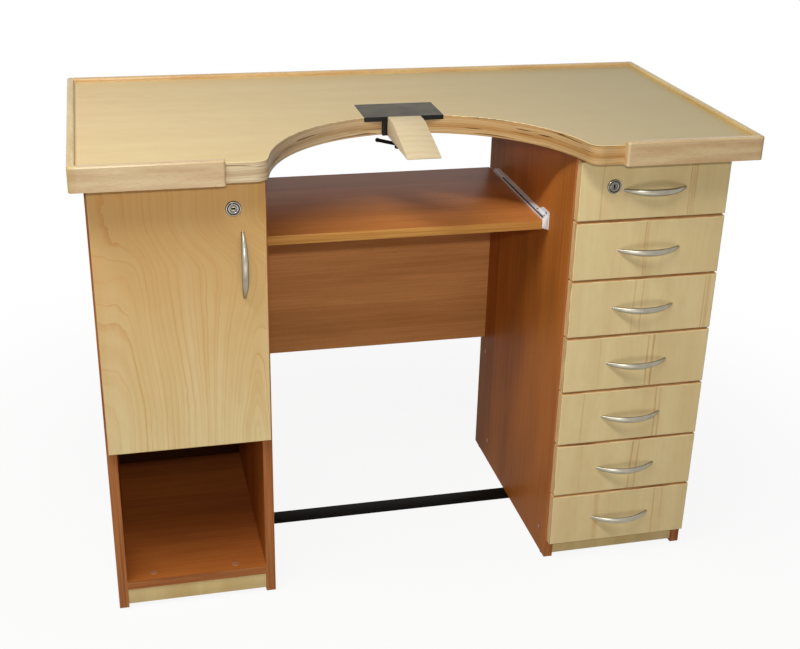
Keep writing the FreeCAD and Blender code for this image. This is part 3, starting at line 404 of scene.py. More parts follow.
@dataclass(frozen=True)
class BirchPlywood(Board):
    """Birch plywood, sanded and clear lacquered: a pale, calm face and striped edges.

    The last four fields say how squarely the surface faces out of the board, from 0 to 1, where its
    flat face, its face veneer and the bared glue line round the corner start or end.
    """

    light: str = "#F3DDA6"
    dark: str = "#E9CE94"
    fleck: str = "#D3AE70"
    edge: PlyEdge = PlyEdge()
    # Painted highlight: the paler colour on the eased corner stands in for the light that the rounded edge
    # catches.
    eased: str = "#F6DFAA"
    arris: float = 0.0
    arris_colour: str = "#AC5E20"
    flat_from: tuple[float, float] = (0.93, 0.995)
    face_from: tuple[float, float] = (0.45, 0.7)
    arris_from: tuple[float, float] = (0.30, 0.45)
    arris_until: tuple[float, float] = (0.72, 0.86)

    def figure(self, tree: Tree, place: Socket) -> Socket:
        """Gives the colour of the face alone, as colour() gives the board's."""
        broad = streaks(tree, place, 520, 48, levels=(0.36, 0.64))
        fine = streaks(tree, place, 70, 1.8, levels=(0.48, 0.8, 0.0, 0.14))
        cloud = streaks(tree, place, 45, 22, 4.0, levels=(0.45, 0.75, 0.0, 0.16))
        fine = add_node(tree, "Math", (fine, cloud), operation="ADD")[0]
        return layered(tree, self.light, (broad, self.dark), (fine, self.fleck))

    def colour(self, tree: Tree, place: Socket) -> Socket:
        """Gives the board's colour: the face's figure, a painted highlight on the eased corner, and plies on
        the edges.
        """
        facing = self.axes.facing(tree)
        flat = add_node(tree, "MapRange", (facing, *self.flat_from))[0]
        face = layered(tree, self.eased, (flat, self.figure(tree, place)))
        mask = add_node(tree, "MapRange", (facing, *self.face_from))[0]
        edge = self.edge.colour(tree, place)
        # Rounding the corner bares the first glue line, drawn about 1 mm wide so that it shows.
        outer = add_node(tree, "MapRange", (facing, *self.arris_from))[0]
        inner = add_node(tree, "MapRange", (facing, *self.arris_until, 1.0, 0.0))[0]
        bared = add_node(tree, "Math", (outer, inner), operation="MULTIPLY")[0]
        broken = add_node(tree, "TexNoise", {"Vector": place, "Scale": 38.0, "Detail": 2.0})[0]
        broken = add_node(tree, "MapRange", (broken, 0.36, 0.66, 0.15 * self.arris, self.arris))[0]
        bared = add_node(tree, "Math", (bared, broken), operation="MULTIPLY")[0]
        return layered(tree, edge, (mask, face), (bared, self.arris_colour))


@dataclass(frozen=True)
class TopEdge(PlyEdge):
    """The worktop's edge: greyer at the left end and more orange at the right, as it was sanded."""

    ply: float = 4.3
    light: str = "#DDBA86"
    dark: str = "#B78649"
    gaps: float = 0.6
    line: float = 0.13
    grey_light: str = "#F0DBB6"
    grey_dark: str = "#C6AA82"
    grey_glue: str = "#8C7350"
    grey_gap: str = "#846A48"
    grey_gaps: float = 0.5
    grey_end: float = -0.30
    warm_end: float = 0.10

    def colour(self, tree: Tree, place: Socket) -> Socket:
        """Gives the edge's colour, from the grey end to the warm one."""
        warm = PlyEdge.colour(self, tree, place)
        looks = (self.grey_light, self.grey_dark, self.grey_glue, self.grey_gap, self.grey_gaps)
        grey = PlyEdge(self.ply, *looks, self.line)
        run = add_node(tree, "SeparateXYZ", (place,))[0]
        share = add_node(tree, "MapRange", (run, self.grey_end, self.warm_end))[0]
        return layered(tree, grey.colour(tree, place), (share, warm))


@dataclass(frozen=True)
class Worktop(BirchPlywood):
    """The worktop's plywood: warm at the left end and greyer at the right, which is painted light."""

    light: str = "#EBD099"
    dark: str = "#E7CA91"
    fleck: str = "#D2AF74"
    # Painted light: the greyer colour that the right end turns to.
    painted_cool_light: str = "#C4B283"
    brown_fleck: str = "#A88C60"
    warm_end: float = -0.50
    painted_cool_light_end: float = 0.50
    painted_cool_light_share: float = 0.85
    edge: PlyEdge = TopEdge()

    def figure(self, tree: Tree, place: Socket) -> Socket:
        """Gives the face's colour, with painted light from warm at one end to grey at the other, and its fine
        brown flecks.
        """
        ground = BirchPlywood.figure(self, tree, place)
        run = add_node(tree, "SeparateXYZ", (place,))[0]
        levels = (run, self.warm_end, self.painted_cool_light_end, 0.0, self.painted_cool_light_share)
        share = add_node(tree, "MapRange", levels)[0]
        flecks = streaks(tree, place, 20, 0.9, 1.0, levels=(0.66, 0.76, 0.0, 0.14))
        return layered(tree, ground, (share, self.painted_cool_light), (flecks, self.brown_fleck))


@dataclass(frozen=True)
class Streak:
    """A brown mineral streak in a veneer, along the grain: its place across the bench and its width."""

    centre: float
    width: float
    strength: float


@dataclass(frozen=True)
class DrawerBirch(BirchPlywood):
    """A drawer front's birch plywood, with the brown streaks of its own piece of veneer."""

    axes: BoardAxes = STANDING_FRONT
    light: str = "#F1DAA3"
    dark: str = "#EBD19A"
    streak: str = "#C88B42"
    wander: float = 4.0
    fade: tuple[float, float] = (0.4, 1.2)
    marks: tuple[Streak, ...] = ()
    # The plies are drawn paler than a plain edge: partly pale fresh-cut birch, partly painted light on the
    # side edges.
    edge: PlyEdge = PlyEdge(1.5, "#FFE4AE", "#EFC47E", "#C08A4C", "#9A5420", 0.8, 0.25)
    arris: float = 1.0

    def figure(self, tree: Tree, place: Socket) -> Socket:
        """Gives the face's colour with its streaks."""
        colour = BirchPlywood.figure(self, tree, place)
        across = add_node(tree, "SeparateXYZ", (place,))[1]
        wander = wandering(tree, place, (220, 120, 1.0), self.wander)
        bent = add_node(tree, "Math", (across, wander), operation="ADD")[0]
        worn = streaks(tree, place, 40, 14, 2.0, levels=(0.3, 0.6, 0.45, 1.0))
        for mark in self.marks:
            centre = mark.centre * MM + self.shift[1]
            away = add_node(tree, "Math", (bent, centre), operation="SUBTRACT")[0]
            size = add_node(tree, "Math", (away,), operation="ABSOLUTE")[0]
            core, rim = (mark.width * MM / 2 * part for part in self.fade)
            share = add_node(tree, "MapRange", (size, core, rim, mark.strength, 0.0))[0]
            share = add_node(tree, "Math", (share, worn), operation="MULTIPLY")[0]
            colour = layered(tree, colour, (share, self.streak))
        return colour


@dataclass(frozen=True)
class DoorBirch(BirchPlywood):
    """The door's rotary-cut birch: thin orange growth lines that drift and bend round swellings.

    Heights are over the floor, and places are to the right of the door's left edge, both in metres.
    """

    axes: BoardAxes = STANDING_FRONT
    light: str = "#F0DBA6"
    dark: str = "#E9D096"
    low: float = 0.34
    high: float = 0.82
    # The top's orange is partly the veneer's own colour and partly painted shade under the worktop's
    # overhang.
    upper_tone_and_shade: str = "#D7A45E"
    line: str = "#CC8030"
    spacing: float = 12.5
    uneven: float = 1.6
    upper_tone_and_shade_share: float = 0.86
    band_share: float = 0.16
    line_share: tuple[float, float] = (0.12, 0.46)
    line_part: tuple[float, float] = (0.72, 0.97)
    arris: float = 0.6
    # Painted highlight: the honey colour on the door's eased corners stands in for the light on its rounded
    # edges.
    eased: str = "#EBC080"
    left: float = -574.5
    drift: float = 44.0
    drift_back: float = -0.3
    sway: float = 11.0
    fold: float = 80.0
    rise: tuple[float, float] = (-52.0, 70.0)
    wave: float = 3.2
    blend: float = 45.0
    lean: float = 0.35
    ripple: float = 1.8
    drift_heights: tuple[float, float] = (0.40, 0.84)
    drift_places: tuple[float, float] = (0.05, 0.28)
    fold_heights: tuple[float, float] = (0.38, 0.67)
    fold_places: tuple[float, float, float] = (0.16, 0.265, 0.30)
    rise_heights: tuple[float, float] = (0.35, 0.75)
    lean_heights: tuple[float, float] = (0.69, 0.79)

    def growth(self, tree: Tree, place: Socket) -> Socket:
        """Gives the height of the log's growth rings under the surface, which the lines follow.

        On most of the door the lines stand upright and drift to the right going down, and a swelling
        at the lower right folds them. At the left they lie level in waves, and turn up where both meet.

        Args:
            tree: the material's tree.
            place: the place as (along, across, through).

        Returns:
            The height, in metres.
        """
        parts = add_node(tree, "SeparateXYZ", (place,))
        smooth = {"interpolation_type": "SMOOTHSTEP"}
        away = add_node(tree, "Math", (parts[1], self.left * MM), operation="SUBTRACT")[0]
        levels = (parts[0], *self.drift_heights, self.drift * MM, 0.0)
        slide = add_node(tree, "MapRange", levels, **smooth)[0]
        turn = add_node(tree, "MapRange", (away, *self.drift_places, 1.0, self.drift_back))[0]
        slide = add_node(tree, "Math", (slide, turn), operation="MULTIPLY")[0]
        upright = add_node(tree, "Math", (away, slide), operation="SUBTRACT")[0]
        sway = wandering(tree, place, (260, 110, 1.0), self.sway)
        upright = add_node(tree, "Math", (upright, sway), operation="ADD")[0]
        foot, top, end = self.fold_places
        ridge = add_node(tree, "MapRange", (away, foot, top), **smooth)[0]
        brow = add_node(tree, "MapRange", (away, top, end, 1.0, 0.0), **smooth)[0]
        ridge = add_node(tree, "Math", (ridge, brow), operation="MULTIPLY")[0]
        swell = add_node(tree, "MapRange", (parts[0], *self.fold_heights, self.fold * MM, 0.0))[0]
        upright = add_node(tree, "Math", (ridge, swell, upright), operation="MULTIPLY_ADD")[0]
        low, high = (level * MM for level in self.rise)
        rise = add_node(tree, "MapRange", (parts[0], *self.rise_heights, low, high))[0]
        wave = wandering(tree, place, (30, 46, 2.0), self.wave, 0.25)
        level = add_node(tree, "Math", (rise, wave), operation="ADD")[0]
        both = (upright, level, self.blend * MM)
        height = add_node(tree, "Math", both, operation="SMOOTH_MAX")[0]
        levels = (parts[0], *self.lean_heights, 0.0, self.lean)
        lean = add_node(tree, "MapRange", levels, **smooth)[0]
        height = add_node(tree, "Math", (away, lean, height), operation="MULTIPLY_ADD")[0]
        ripple = wandering(tree, place, (34, 18, 2.0), self.ripple)
        return add_node(tree, "Math", (height, ripple), operation="ADD")[0]

    def figure(self, tree: Tree, place: Socket) -> Socket:
        """Gives the face's colour: orange at the top, partly painted shade, and pale at the bottom, with its
        growth lines.
        """
        ground = BirchPlywood.figure(self, tree, place)
        run = add_node(tree, "SeparateXYZ", (place,))[0]
        share = add_node(tree, "MapRange", (run, self.low, self.high, 0.0, self.upper_tone_and_shade_share))[0]
        rings = (self.growth(tree, place), self.spacing * MM)
        rings = add_node(tree, "Math", rings, operation="DIVIDE")[0]
        uneven = {"W": rings, "Scale": 0.45, "Detail": 1.0}
        uneven = add_node(tree, "TexNoise", uneven, noise_dimensions="1D")[0]
        rings = add_node(tree, "Math", (uneven, self.uneven, rings), operation="MULTIPLY_ADD")[0]
        bands = {"W": rings, "Scale": 0.9, "Detail": 2.0}
        bands = add_node(tree, "TexNoise", bands, noise_dimensions="1D")[0]
        bands = add_node(tree, "MapRange", (bands, 0.4, 0.75, 0.0, self.band_share))[0]
        number = add_node(tree, "Math", (rings,), operation="FLOOR")[0]
        chance = add_node(tree, "TexWhiteNoise", {"W": number}, noise_dimensions="1D")["Value"]
        strength = add_node(tree, "MapRange", (chance, 0.1, 0.9, *self.line_share))[0]
        part = add_node(tree, "Math", (rings,), operation="FRACT")[0]
        line = add_node(tree, "MapRange", (part, *self.line_part))[0]
        line = add_node(tree, "Math", (line, strength), operation="MULTIPLY")[0]
        fade = streaks(tree, place, 160, 40, levels=(0.35, 0.6, 0.45, 1.0))
        line = add_node(tree, "Math", (line, fade), operation="MULTIPLY")[0]
        return layered(tree, ground, (share, self.upper_tone_and_shade), (bands, self.line), (line, self.line))


@dataclass(frozen=True)
class SolidBeech(Board):
    """Solid beech trim, sanded round and lacquered: fine flecks along the grain, and a soft shine."""

    axes: BoardAxes = LYING_FRONT
    light: str = "#DABF8F"
    dark: str = "#C8A576"
    fleck: str = "#B08656"
    roughness: float = 0.24
    specular: float = 0.5
    pores: tuple[float, float] = (12, 0.7)
    pore_depth: float = 0.04
    pore_strength: float = 0.3

    def colour(self, tree: Tree, place: Socket) -> Socket:
        """Gives the wood's colour: broad bands and fine flecks."""
        broad = streaks(tree, place, 150, 14, levels=(0.36, 0.66))
        flecks = streaks(tree, place, 11, 1.1, 2.0, levels=(0.5, 0.72, 0.0, 0.4))
        return layered(tree, self.light, (broad, self.dark), (flecks, self.fleck))


@dataclass(frozen=True)
class CornerBeech(SolidBeech):
    """The end trims' beech: where they turn the front corners they look like the front trims."""

    specular: float = 0.25
    front: SolidBeech = SolidBeech("beech_front")

    def colour(self, tree: Tree, place: Socket) -> Socket:
        """Gives the end trims' colour, and the front trims' own on what faces forward."""
        normal = add_node(tree, "TexCoord")["Normal"]
        forward = add_node(tree, "SeparateXYZ", (normal,))[1]
        share = add_node(tree, "MapRange", (forward, *FORWARD, 1.0, 0.0))[0]
        ahead = self.front.axes.coordinates(tree, self.front.shift)
        return layered(tree, SolidBeech.colour(self, tree, place), (share, self.front.colour(tree, ahead)))


@dataclass(frozen=True)
class CherryLaminate(Board):
    """Cherry laminate on chipboard: printed staves under a smooth film, and a glued edge band."""

    axes: BoardAxes = STANDING_SIDE
    light: str = "#C97A33"
    dark: str = "#9D5A24"
    fleck: str = "#74380F"
    band_light: str = "#BA7948"
    band_dark: str = "#9E5F37"
    stave: float = 88.0
    stave_share: float = 0.42
    roughness: float = 0.48
    specular: float = 0.035
    pores: tuple[float, float] = (10, 0.8)
    pore_depth: float = 0.03
    pore_strength: float = 0.3

    def face(self, tree: Tree, place: Socket) -> Socket:
        """Gives the printed staves' colour, as colour() gives the board's."""
        across = add_node(tree, "SeparateXYZ", (place,))[1]
        count = add_node(tree, "Math", (across, self.stave * MM), operation="DIVIDE")[0]
        number = add_node(tree, "Math", (count,), operation="FLOOR")[0]
        tone = add_node(tree, "TexWhiteNoise", {"W": number}, noise_dimensions="1D")["Value"]
        grain = streaks(tree, place, 190, 4.5)
        clouds = streaks(tree, place, 300, 60, 2.0)
        total = add_node(tree, "Math", (tone, self.stave_share, grain), operation="MULTIPLY_ADD")[0]
        total = add_node(tree, "Math", (total, clouds), operation="ADD")[0]
        share = add_node(tree, "MapRange", (total, 0.84, 1.62))[0]
        pores = streaks(tree, place, 11, 0.9, 1.0, levels=(0.6, 0.78, 0.0, 0.22))
        return layered(tree, self.light, (share, self.dark), (pores, self.fleck))

    def colour(self, tree: Tree, place: Socket) -> Socket:
        """Gives the board's colour: staves on the faces, a band on the edges."""
        share = streaks(tree, place, 150, 3.0, levels=(0.35, 0.65))
        band = layered(tree, self.band_light, (share, self.band_dark))
        mask = add_node(tree, "MapRange", (self.axes.facing(tree), 0.55, 0.8))[0]
        return layered(tree, band, (mask, self.face(tree, place)))


@dataclass(frozen=True)
class NicheBack(CherryLaminate):
    """The backs' laminate, with painted shade: dark brown on its front inside the open niche."""

    # Painted shade: the dark brown stands in for the deep shadow at the back of the niche.
    painted_niche_shade: str = "#2E1A10"
    painted_niche_shade_share: float = 0.92
    niche_top: float = 0.349

    def face(self, tree: Tree, place: Socket) -> Socket:
        """Gives the printed staves, and the painted shade on what faces forward in the niche."""
        staves = CherryLaminate.face(self, tree, place)
        coordinates = add_node(tree, "TexCoord")
        forward = add_node(tree, "SeparateXYZ", (coordinates["Normal"],))[1]
        forward = add_node(tree, "MapRange", (forward, *FORWARD, self.painted_niche_shade_share, 0.0))[0]
        parts = add_node(tree, "SeparateXYZ", (coordinates["Object"],))
        left = add_node(tree, "Math", (parts[0], 0.0), operation="LESS_THAN")[0]
        below = add_node(tree, "Math", (parts[2], self.niche_top), operation="LESS_THAN")[0]
        niche = add_node(tree, "Math", (left, below), operation="MULTIPLY")[0]
        share = add_node(tree, "Math", (niche, forward), operation="MULTIPLY")[0]
        return layered(tree, staves, (share, self.painted_niche_shade))


@dataclass(frozen=True)
class Maple(Finish):
    """The bench pin's hard maple, raw and sanded: growth rings cross the slope in shallow arcs."""

    light: str = "#E4D0A8"
    dark: str = "#D5BB8B"
    pore: str = "#C9A877"
    half_ring: float = 9.0
    heart: Point = (0.0, 0.27, -0.86)
    oval: Point = (1.0, 1.0, 0.5)
    fibre_scale: Point = (900.0, 40.0, 900.0)
    fibre_depth: float = 0.05
    roughness: float = 0.62
    specular: float = 0.25

    def paint(self, tree: Tree) -> dict:
        """Gives the shader's inputs."""
        place = add_node(tree, "TexCoord")["Object"]
        centre = add_node(tree, "Mapping", (place, self.heart))[0]
        flat = add_node(tree, "Mapping", {0: centre, "Scale": self.oval})[0]
        scale = math.pi / (WAVE_TURN * self.half_ring * MM)
        rings = {"Vector": flat, "Scale": scale, "Distortion": 3.2, "Detail": 2.0, "Detail Scale": 0.6}
        wave = add_node(tree, "TexWave", rings, wave_type="RINGS", rings_direction="Z")[1]
        late = add_node(tree, "MapRange", (wave, 0.5, 1.0, 0.0, 0.5))[0]
        upward = add_node(tree, "SeparateXYZ", (add_node(tree, "TexCoord")["Normal"],))[2]
        upward = add_node(tree, "MapRange", (upward, 0.1, 0.7, 0.15, 1.0))[0]
        late = add_node(tree, "Math", (late, upward), operation="MULTIPLY")[0]
        patchy = add_node(tree, "TexNoise", {"Vector": place, "Scale": 30.0, "Detail": 2.0})[0]
        patchy = add_node(tree, "MapRange", (patchy, 0.35, 0.6, 0.3, 1.0))[0]
        late = add_node(tree, "Math", (late, patchy), operation="MULTIPLY")[0]
        fibre = add_node(tree, "Mapping", {0: place, "Scale": self.fibre_scale})[0]
        fibre = add_node(tree, "TexNoise", {"Vector": fibre, "Scale": 1.0, "Detail": 2.0})[0]
        share = add_node(tree, "MapRange", (fibre, 0.5, 0.8, 0.0, 0.2))[0]
        raised = {"Height": fibre, "Distance": self.fibre_depth * MM, "Strength": 0.4}
        return {
            "Base Color": layered(tree, self.light, (late, self.dark), (share, self.pore)),
            "Roughness": self.roughness,
            "Specular IOR Level": self.specular,
            "Normal": add_node(tree, "Bump", raised)[0],
        }


# ---------------------------------------------------------------- metal and plastic finishes


@dataclass(frozen=True)
class Smooth(Finish):
    """A metal, coated or moulded surface: slight clouds in its colour and a fine, even texture."""

    colour: str = "#C8C6C0"
    shade: str = "#B4B1AA"
    metallic: float = 1.0
    roughness: float = 0.3
    grain: float = 0.6
    depth: float = 0.01
    cloud: float = 16.0
    specular: float = 0.5

    def paint(self, tree: Tree) -> dict:
        """Gives the shader's inputs."""
        place = add_node(tree, "TexCoord")["Object"]
        fine = {"Vector": place, "Scale": 1000 / self.grain, "Detail": 2.0}
        speck = add_node(tree, "TexNoise", fine)[0]
        wide = {"Vector": place, "Scale": 1000 / self.cloud, "Detail": 3.0}
        cloud = add_node(tree, "TexNoise", wide)[0]
        share = add_node(tree, "MapRange", (cloud, 0.35, 0.65))[0]
        ends = (self.roughness * 0.85, self.roughness * 1.15)
        raised = {"Height": speck, "Distance": self.depth * MM, "Strength": 0.5}
        return {
            "Base Color": layered(tree, self.colour, (share, self.shade)),
            "Metallic": self.metallic,
            "Roughness": add_node(tree, "MapRange", (speck, 0.3, 0.7, *ends))[0],
            "Specular IOR Level": self.specular,
            "Normal": add_node(tree, "Bump", raised)[0],
        }


# Handles and hinges: steel with a satin nickel plate, so highlights are broad and a little warm.
SATIN_NICKEL = Smooth("satin_nickel", "#A29C8C", "#979181", 1.0, 0.33)
# Tray and drawer rails: steel with a white epoxy coat, smooth and slightly glossy.
POWDER_COAT = Smooth("white_epoxy_coat", "#F4F6F8", "#ECEEF0", 0.0, 0.36, 0.8, 0.02, specular=0.6)
# Floor bar and glides: black powder coat, nearly without shine.
BLACK_COAT = Smooth("black_powder_coat", "#12110C", "#0C0B08", 0.0, 0.6, 0.9, 0.03, specular=0.06)
# Clamp: mild steel blackened in oil, so it is dark and dull.
BLACK_STEEL = Smooth("oil_blackened_steel", "#1E1D1A", "#171613", 0.25, 0.5, 0.7, 0.02, specular=0.3)
# Cover caps over the screws: moulded plastic in the laminate's colour.
BROWN_CAP = Smooth("moulded_brown_cap", "#A8653A", "#9A5A32", 0.0, 0.42, 0.8, 0.01)
# Caps over spare holes in the niche: the same plastic, a little lighter and duller.
PINK_CAP = Smooth("moulded_pink_cap", "#B5784F", "#AB6E46", 0.0, 0.5, 0.8, 0.01)
# Wood filler over the trim's nails: matt and a little yellow.
PUTTY = Smooth("wood_filler", "#E8C474", "#DDB765", 0.0, 0.7, 0.5, 0.02, specular=0.2)
# Slide plates' screws: zinc plate that has dulled, so they look grey against the white coat.
ZINC = Smooth("dulled_zinc", "#6E6C68", "#5C5A56", 1.0, 0.34)
# Painted shade in the gap between the tray's runner and rail, as a dark strip, and the slides' blackened
# rivets, matt.
GAP_SHADE_AND_RIVETS = Smooth("gap_shade_and_rivet_black", "#3A3F46", "#30343A", 0.0, 0.55, 0.8, 0.02, specular=0.15)


@dataclass(frozen=True)
class RingedChrome(Smooth):
    """A lock's chrome plate with painted light: highlights on the raised rings, shade in the grooves and the
    keyway.
    """

    centre: tuple[float, float] = (0.0, 0.0)
    outside: float = 14.0
    keyway_depth: tuple[float, float] = (-0.2443, -0.2362)
    keyway_reach: float = 3.9
    # Painted shade inside the key slot.
    painted_keyway_shade: str = "#050505"
    # Painted highlights on the raised rings and painted shade in the grooves, by radius in millimetres.
    rings: tuple[tuple[float, str], ...] = (
        (3.6, "#837E74"), (4.0, "#45413B"), (4.5, "#8C877E"), (5.1, "#7B766D"), (5.6, "#2C2926"),
        (6.1, "#837E75"), (8.6, "#79756C"), (9.5, "#3E3A36"), (10.3, "#3E3A36"), (11.0, "#979289"),
        (12.4, "#857F77"), (13.4, "#55514B"))

    def paint(self, tree: Tree) -> dict:
        """Gives the shader's inputs, with the painted highlights and shade in rings round the lock's own
        middle.
        """
        inputs = Smooth.paint(self, tree)
        place = add_node(tree, "TexCoord")["Object"]
        middle = (-self.centre[0] * MM, 0.0, -self.centre[1] * MM)
        centred = {0: place, "Location": middle, "Scale": (1.0, 0.0, 1.0)}
        flat = add_node(tree, "Mapping", centred)[0]
        radius = add_node(tree, "VectorMath", (flat,), operation="LENGTH")["Value"]
        reach = add_node(tree, "MapRange", (radius, 0.0, self.outside * MM))[0]
        stops = tuple((ring / self.outside, colour) for ring, colour in self.rings)
        ringed = add_node(tree, "ValToRGB", (reach,), ramp=stops)[0]
        # Painted shade: the floor of the key slot is drawn nearly black.
        depth = add_node(tree, "SeparateXYZ", (place,))[1]
        deep = add_node(tree, "Math", (depth, self.keyway_depth[0]), operation="GREATER_THAN")[0]
        near = add_node(tree, "Math", (depth, self.keyway_depth[1]), operation="LESS_THAN")[0]
        inside = add_node(tree, "Math", (radius, self.keyway_reach * MM), operation="LESS_THAN")[0]
        dark = add_node(tree, "Math", (deep, near), operation="MULTIPLY")[0]
        dark = add_node(tree, "Math", (dark, inside), operation="MULTIPLY")[0]
        inputs["Base Color"] = layered(tree, ringed, (dark, self.painted_keyway_shade))
        return inputs


@dataclass(frozen=True)
class RubbedAndSheenSteel(Smooth):
    """The anvil's oil-blackened steel: its flat top is grey, partly rubbed steel and partly painted sheen,
    its sides stay black.
    """

    colour: str = "#1E1D1A"
    shade: str = "#171613"
    metallic: float = 0.25
    roughness: float = 0.5
    grain: float = 0.7
    depth: float = 0.02
    specular: float = 0.2
    # The top's grey is partly the rubbed steel's own and partly painted sheen.
    rubbed_grey_and_sheen: str = "#504A3B"
    dull_grey_and_sheen: str = "#3D382B"
    top_height: tuple[float, float] = (0.893, 0.895)

    def paint(self, tree: Tree) -> dict:
        """Gives the shader's inputs, with the grey top, rubbed and painted with sheen, laid over the black.
        """
        inputs = Smooth.paint(self, tree)
        coordinates = add_node(tree, "TexCoord")
        up = add_node(tree, "SeparateXYZ", (coordinates["Normal"],))[2]
        height = add_node(tree, "SeparateXYZ", (coordinates["Object"],))[2]
        level = add_node(tree, "MapRange", (height, *self.top_height))[0]
        top = add_node(tree, "MapRange", (up, 0.75, 0.95))[0]
        top = add_node(tree, "Math", (top, level), operation="MULTIPLY")[0]
        patch = {"Vector": coordinates["Object"], "Scale": 28.0, "Detail": 3.0}
        patch = add_node(tree, "TexNoise", patch)[0]
        share = add_node(tree, "MapRange", (patch, 0.38, 0.66))[0]
        grey = layered(tree, self.rubbed_grey_and_sheen, (share, self.dull_grey_and_sheen))
        inputs["Base Color"] = layered(tree, inputs["Base Color"], (top, grey))
        return inputs


def dress(thing: Thing, material: bpy.types.Material) -> None:
    """Gives an object one material.

    Args:
        thing: the object.
        material: its material.
    """
    if not thing.material_slots:
        thing.data.materials.append(material)
    for place in thing.material_slots:
        place.material = material


# ---------------------------------------------------------------- modelling by hand


def take(thing: Thing) -> Thing:
    """Makes one object the only selected one, and the active one.

    Args:
        thing: the object.

    Returns:
        The same object.
    """
    bpy.ops.object.select_all(action="DESELECT")
    bpy.context.view_layer.objects.active = thing
    thing.select_set(True)
    return thing


@contextmanager
def edit(thing: Thing, everything: bool = False) -> Iterator[None]:
    """Opens a piece in edit mode and closes it again.

    Args:
        thing: the piece.
        everything: whether all of it starts selected, and not nothing.

    Yields:
        Nothing; the edit operators act on the piece meanwhile.
    """
    take(thing)
    bpy.ops.object.mode_set(mode="EDIT")
    bpy.ops.mesh.select_all(action="SELECT" if everything else "DESELECT")
    yield
    bpy.ops.object.mode_set(mode="OBJECT")


def pick(thing: Thing, kind: str, test: Callable[[Vector, Vector], bool]) -> None:
    """Selects, in edit mode, the faces or edges that pass a test.

    Args:
        thing: the piece being edited.
        kind: FACE or EDGE.
        test: takes a face's middle and normal, or an edge's middle and direction.
    """
    bpy.ops.mesh.select_mode(type=kind)
    mesh = bmesh.from_edit_mesh(thing.data)
    for face in mesh.faces if kind == "FACE" else ():
        face.select_set(test(face.calc_center_median(), face.normal))
    for edge in mesh.edges if kind == "EDGE" else ():
        first, last = (vertex.co for vertex in edge.verts)
        edge.select_set(test((first + last) / 2, (last - first).normalized()))
    bmesh.update_edit_mesh(thing.data)


def settle(piece: Thing, name: str) -> Thing:
    """Names a piece, puts its place, turn and size in its mesh, and smooths its round faces.

    Args:
        piece: the piece.
        name: its name.

    Returns:
        The same piece.
    """
    take(piece)
    bpy.ops.object.transform_apply(location=True, rotation=True, scale=True)
    bpy.ops.object.shade_smooth_by_angle(angle=SMOOTH_UNDER)
    piece.name = name
    piece.data.name = name
    return piece


def apply_modifier(piece: Thing, kind: str, **settings) -> None:
    """Adds a modifier to a piece and applies it.

    Args:
        piece: the piece.
        kind: the modifier's type.
        settings: the modifier's own properties.
    """
    take(piece)
    modifier = piece.modifiers.new(kind.lower(), kind)
    for name, setting in settings.items():
        setattr(modifier, name, setting)
    bpy.ops.object.modifier_apply(modifier=modifier.name)


def copied(piece: Thing, name: str, shift: Point = (0.0, 0.0, 0.0), tilt: float = 0.0) -> Thing:
    """Copies a finished piece, with a mesh of its own.

    Args:
        piece: the piece to copy, at its model place.
        name: the copy's name.
        shift: how far the copy moves, in millimetres.
        tilt: how far the copy turns about the bench's Y axis first, in degrees.

    Returns:
        The copy.
    """
    take(piece)
    bpy.ops.object.duplicate(linked=False)
    twin = bpy.context.active_object
    twin.rotation_euler = (0.0, math.radians(tilt), 0.0)
    twin.location = Vector(shift) * MM
    return settle(twin, name)


def discard(*pieces: Thing) -> None:
    """Removes pieces that only served as a pattern or as a cutter.

    Args:
        pieces: the pieces.
    """
    for piece in pieces:
        bpy.data.objects.remove(piece)


def turned(foot: Point, way: Way, profile: tuple, around: int = 40, hollow: bool = False) -> Thing:
    """Turns a piece as on a lathe: ring after ring is drawn out along its axis and resized.

    Args:
        foot: where the axis starts, in millimetres.
        way: which way the axis points.
        profile: (radius, distance along the axis) of each ring, in millimetres.
        around: how many sides a ring has.
        hollow: whether the last ring joins the first, round an open bore.

    Returns:
        The piece, still at its own origin.
    """
    axis, turn = Vector(way.value[0]), way.value[1]
    start = Vector(foot)
    radius, reach = profile[0]
    place = (start + axis * reach) * MM
    fill = "NOTHING" if hollow else "NGON"
    bpy.ops.object.select_all(action="DESELECT")
    bpy.ops.mesh.primitive_circle_add(
        vertices=around, radius=radius * MM, fill_type=fill, location=place, rotation=turn)
    piece = bpy.context.active_object
    with edit(piece, everything=True):
        for wider, further in profile[1:] + (profile[:1] if hollow else ()):
            step = axis * (further - reach) * MM
            bpy.ops.mesh.extrude_region_move(TRANSFORM_OT_translate={"value": step})
            centre = (start + axis * further) * MM
            bpy.ops.transform.resize(value=(wider / radius,) * 3, center_override=centre)
            radius, reach = wider, further
        bpy.ops.mesh.select_all(action="SELECT")
        bpy.ops.mesh.remove_doubles(threshold=WELD_TURNED * MM)
        bpy.ops.mesh.normals_make_consistent(inside=False)
    return piece


def block(low: Point, high: Point) -> Thing:
    """Adds a plain block as the start of a piece or as a cutter.

    Args:
        low: its lowest corner, in millimetres.
        high: its highest corner, in millimetres.

    Returns:
        The block.
    """
    bpy.ops.object.select_all(action="DESELECT")
    middle = (Vector(low) + Vector(high)) / 2 * MM
    size = (Vector(high) - Vector(low)) * MM
    bpy.ops.mesh.primitive_cube_add(size=1.0, location=middle, scale=size)
    piece = bpy.context.active_object
    bpy.ops.object.transform_apply(location=True, rotation=True, scale=True)
    return piece


def cut_out(piece: Thing, cutter: Thing) -> None:
    """Cuts one piece out of another and removes the cutter.

    Args:
        piece: the piece that is cut.
        cutter: the shape that is taken away.
    """
    apply_modifier(piece, "BOOLEAN", object=cutter, operation="DIFFERENCE", solver="EXACT")
    discard(cutter)


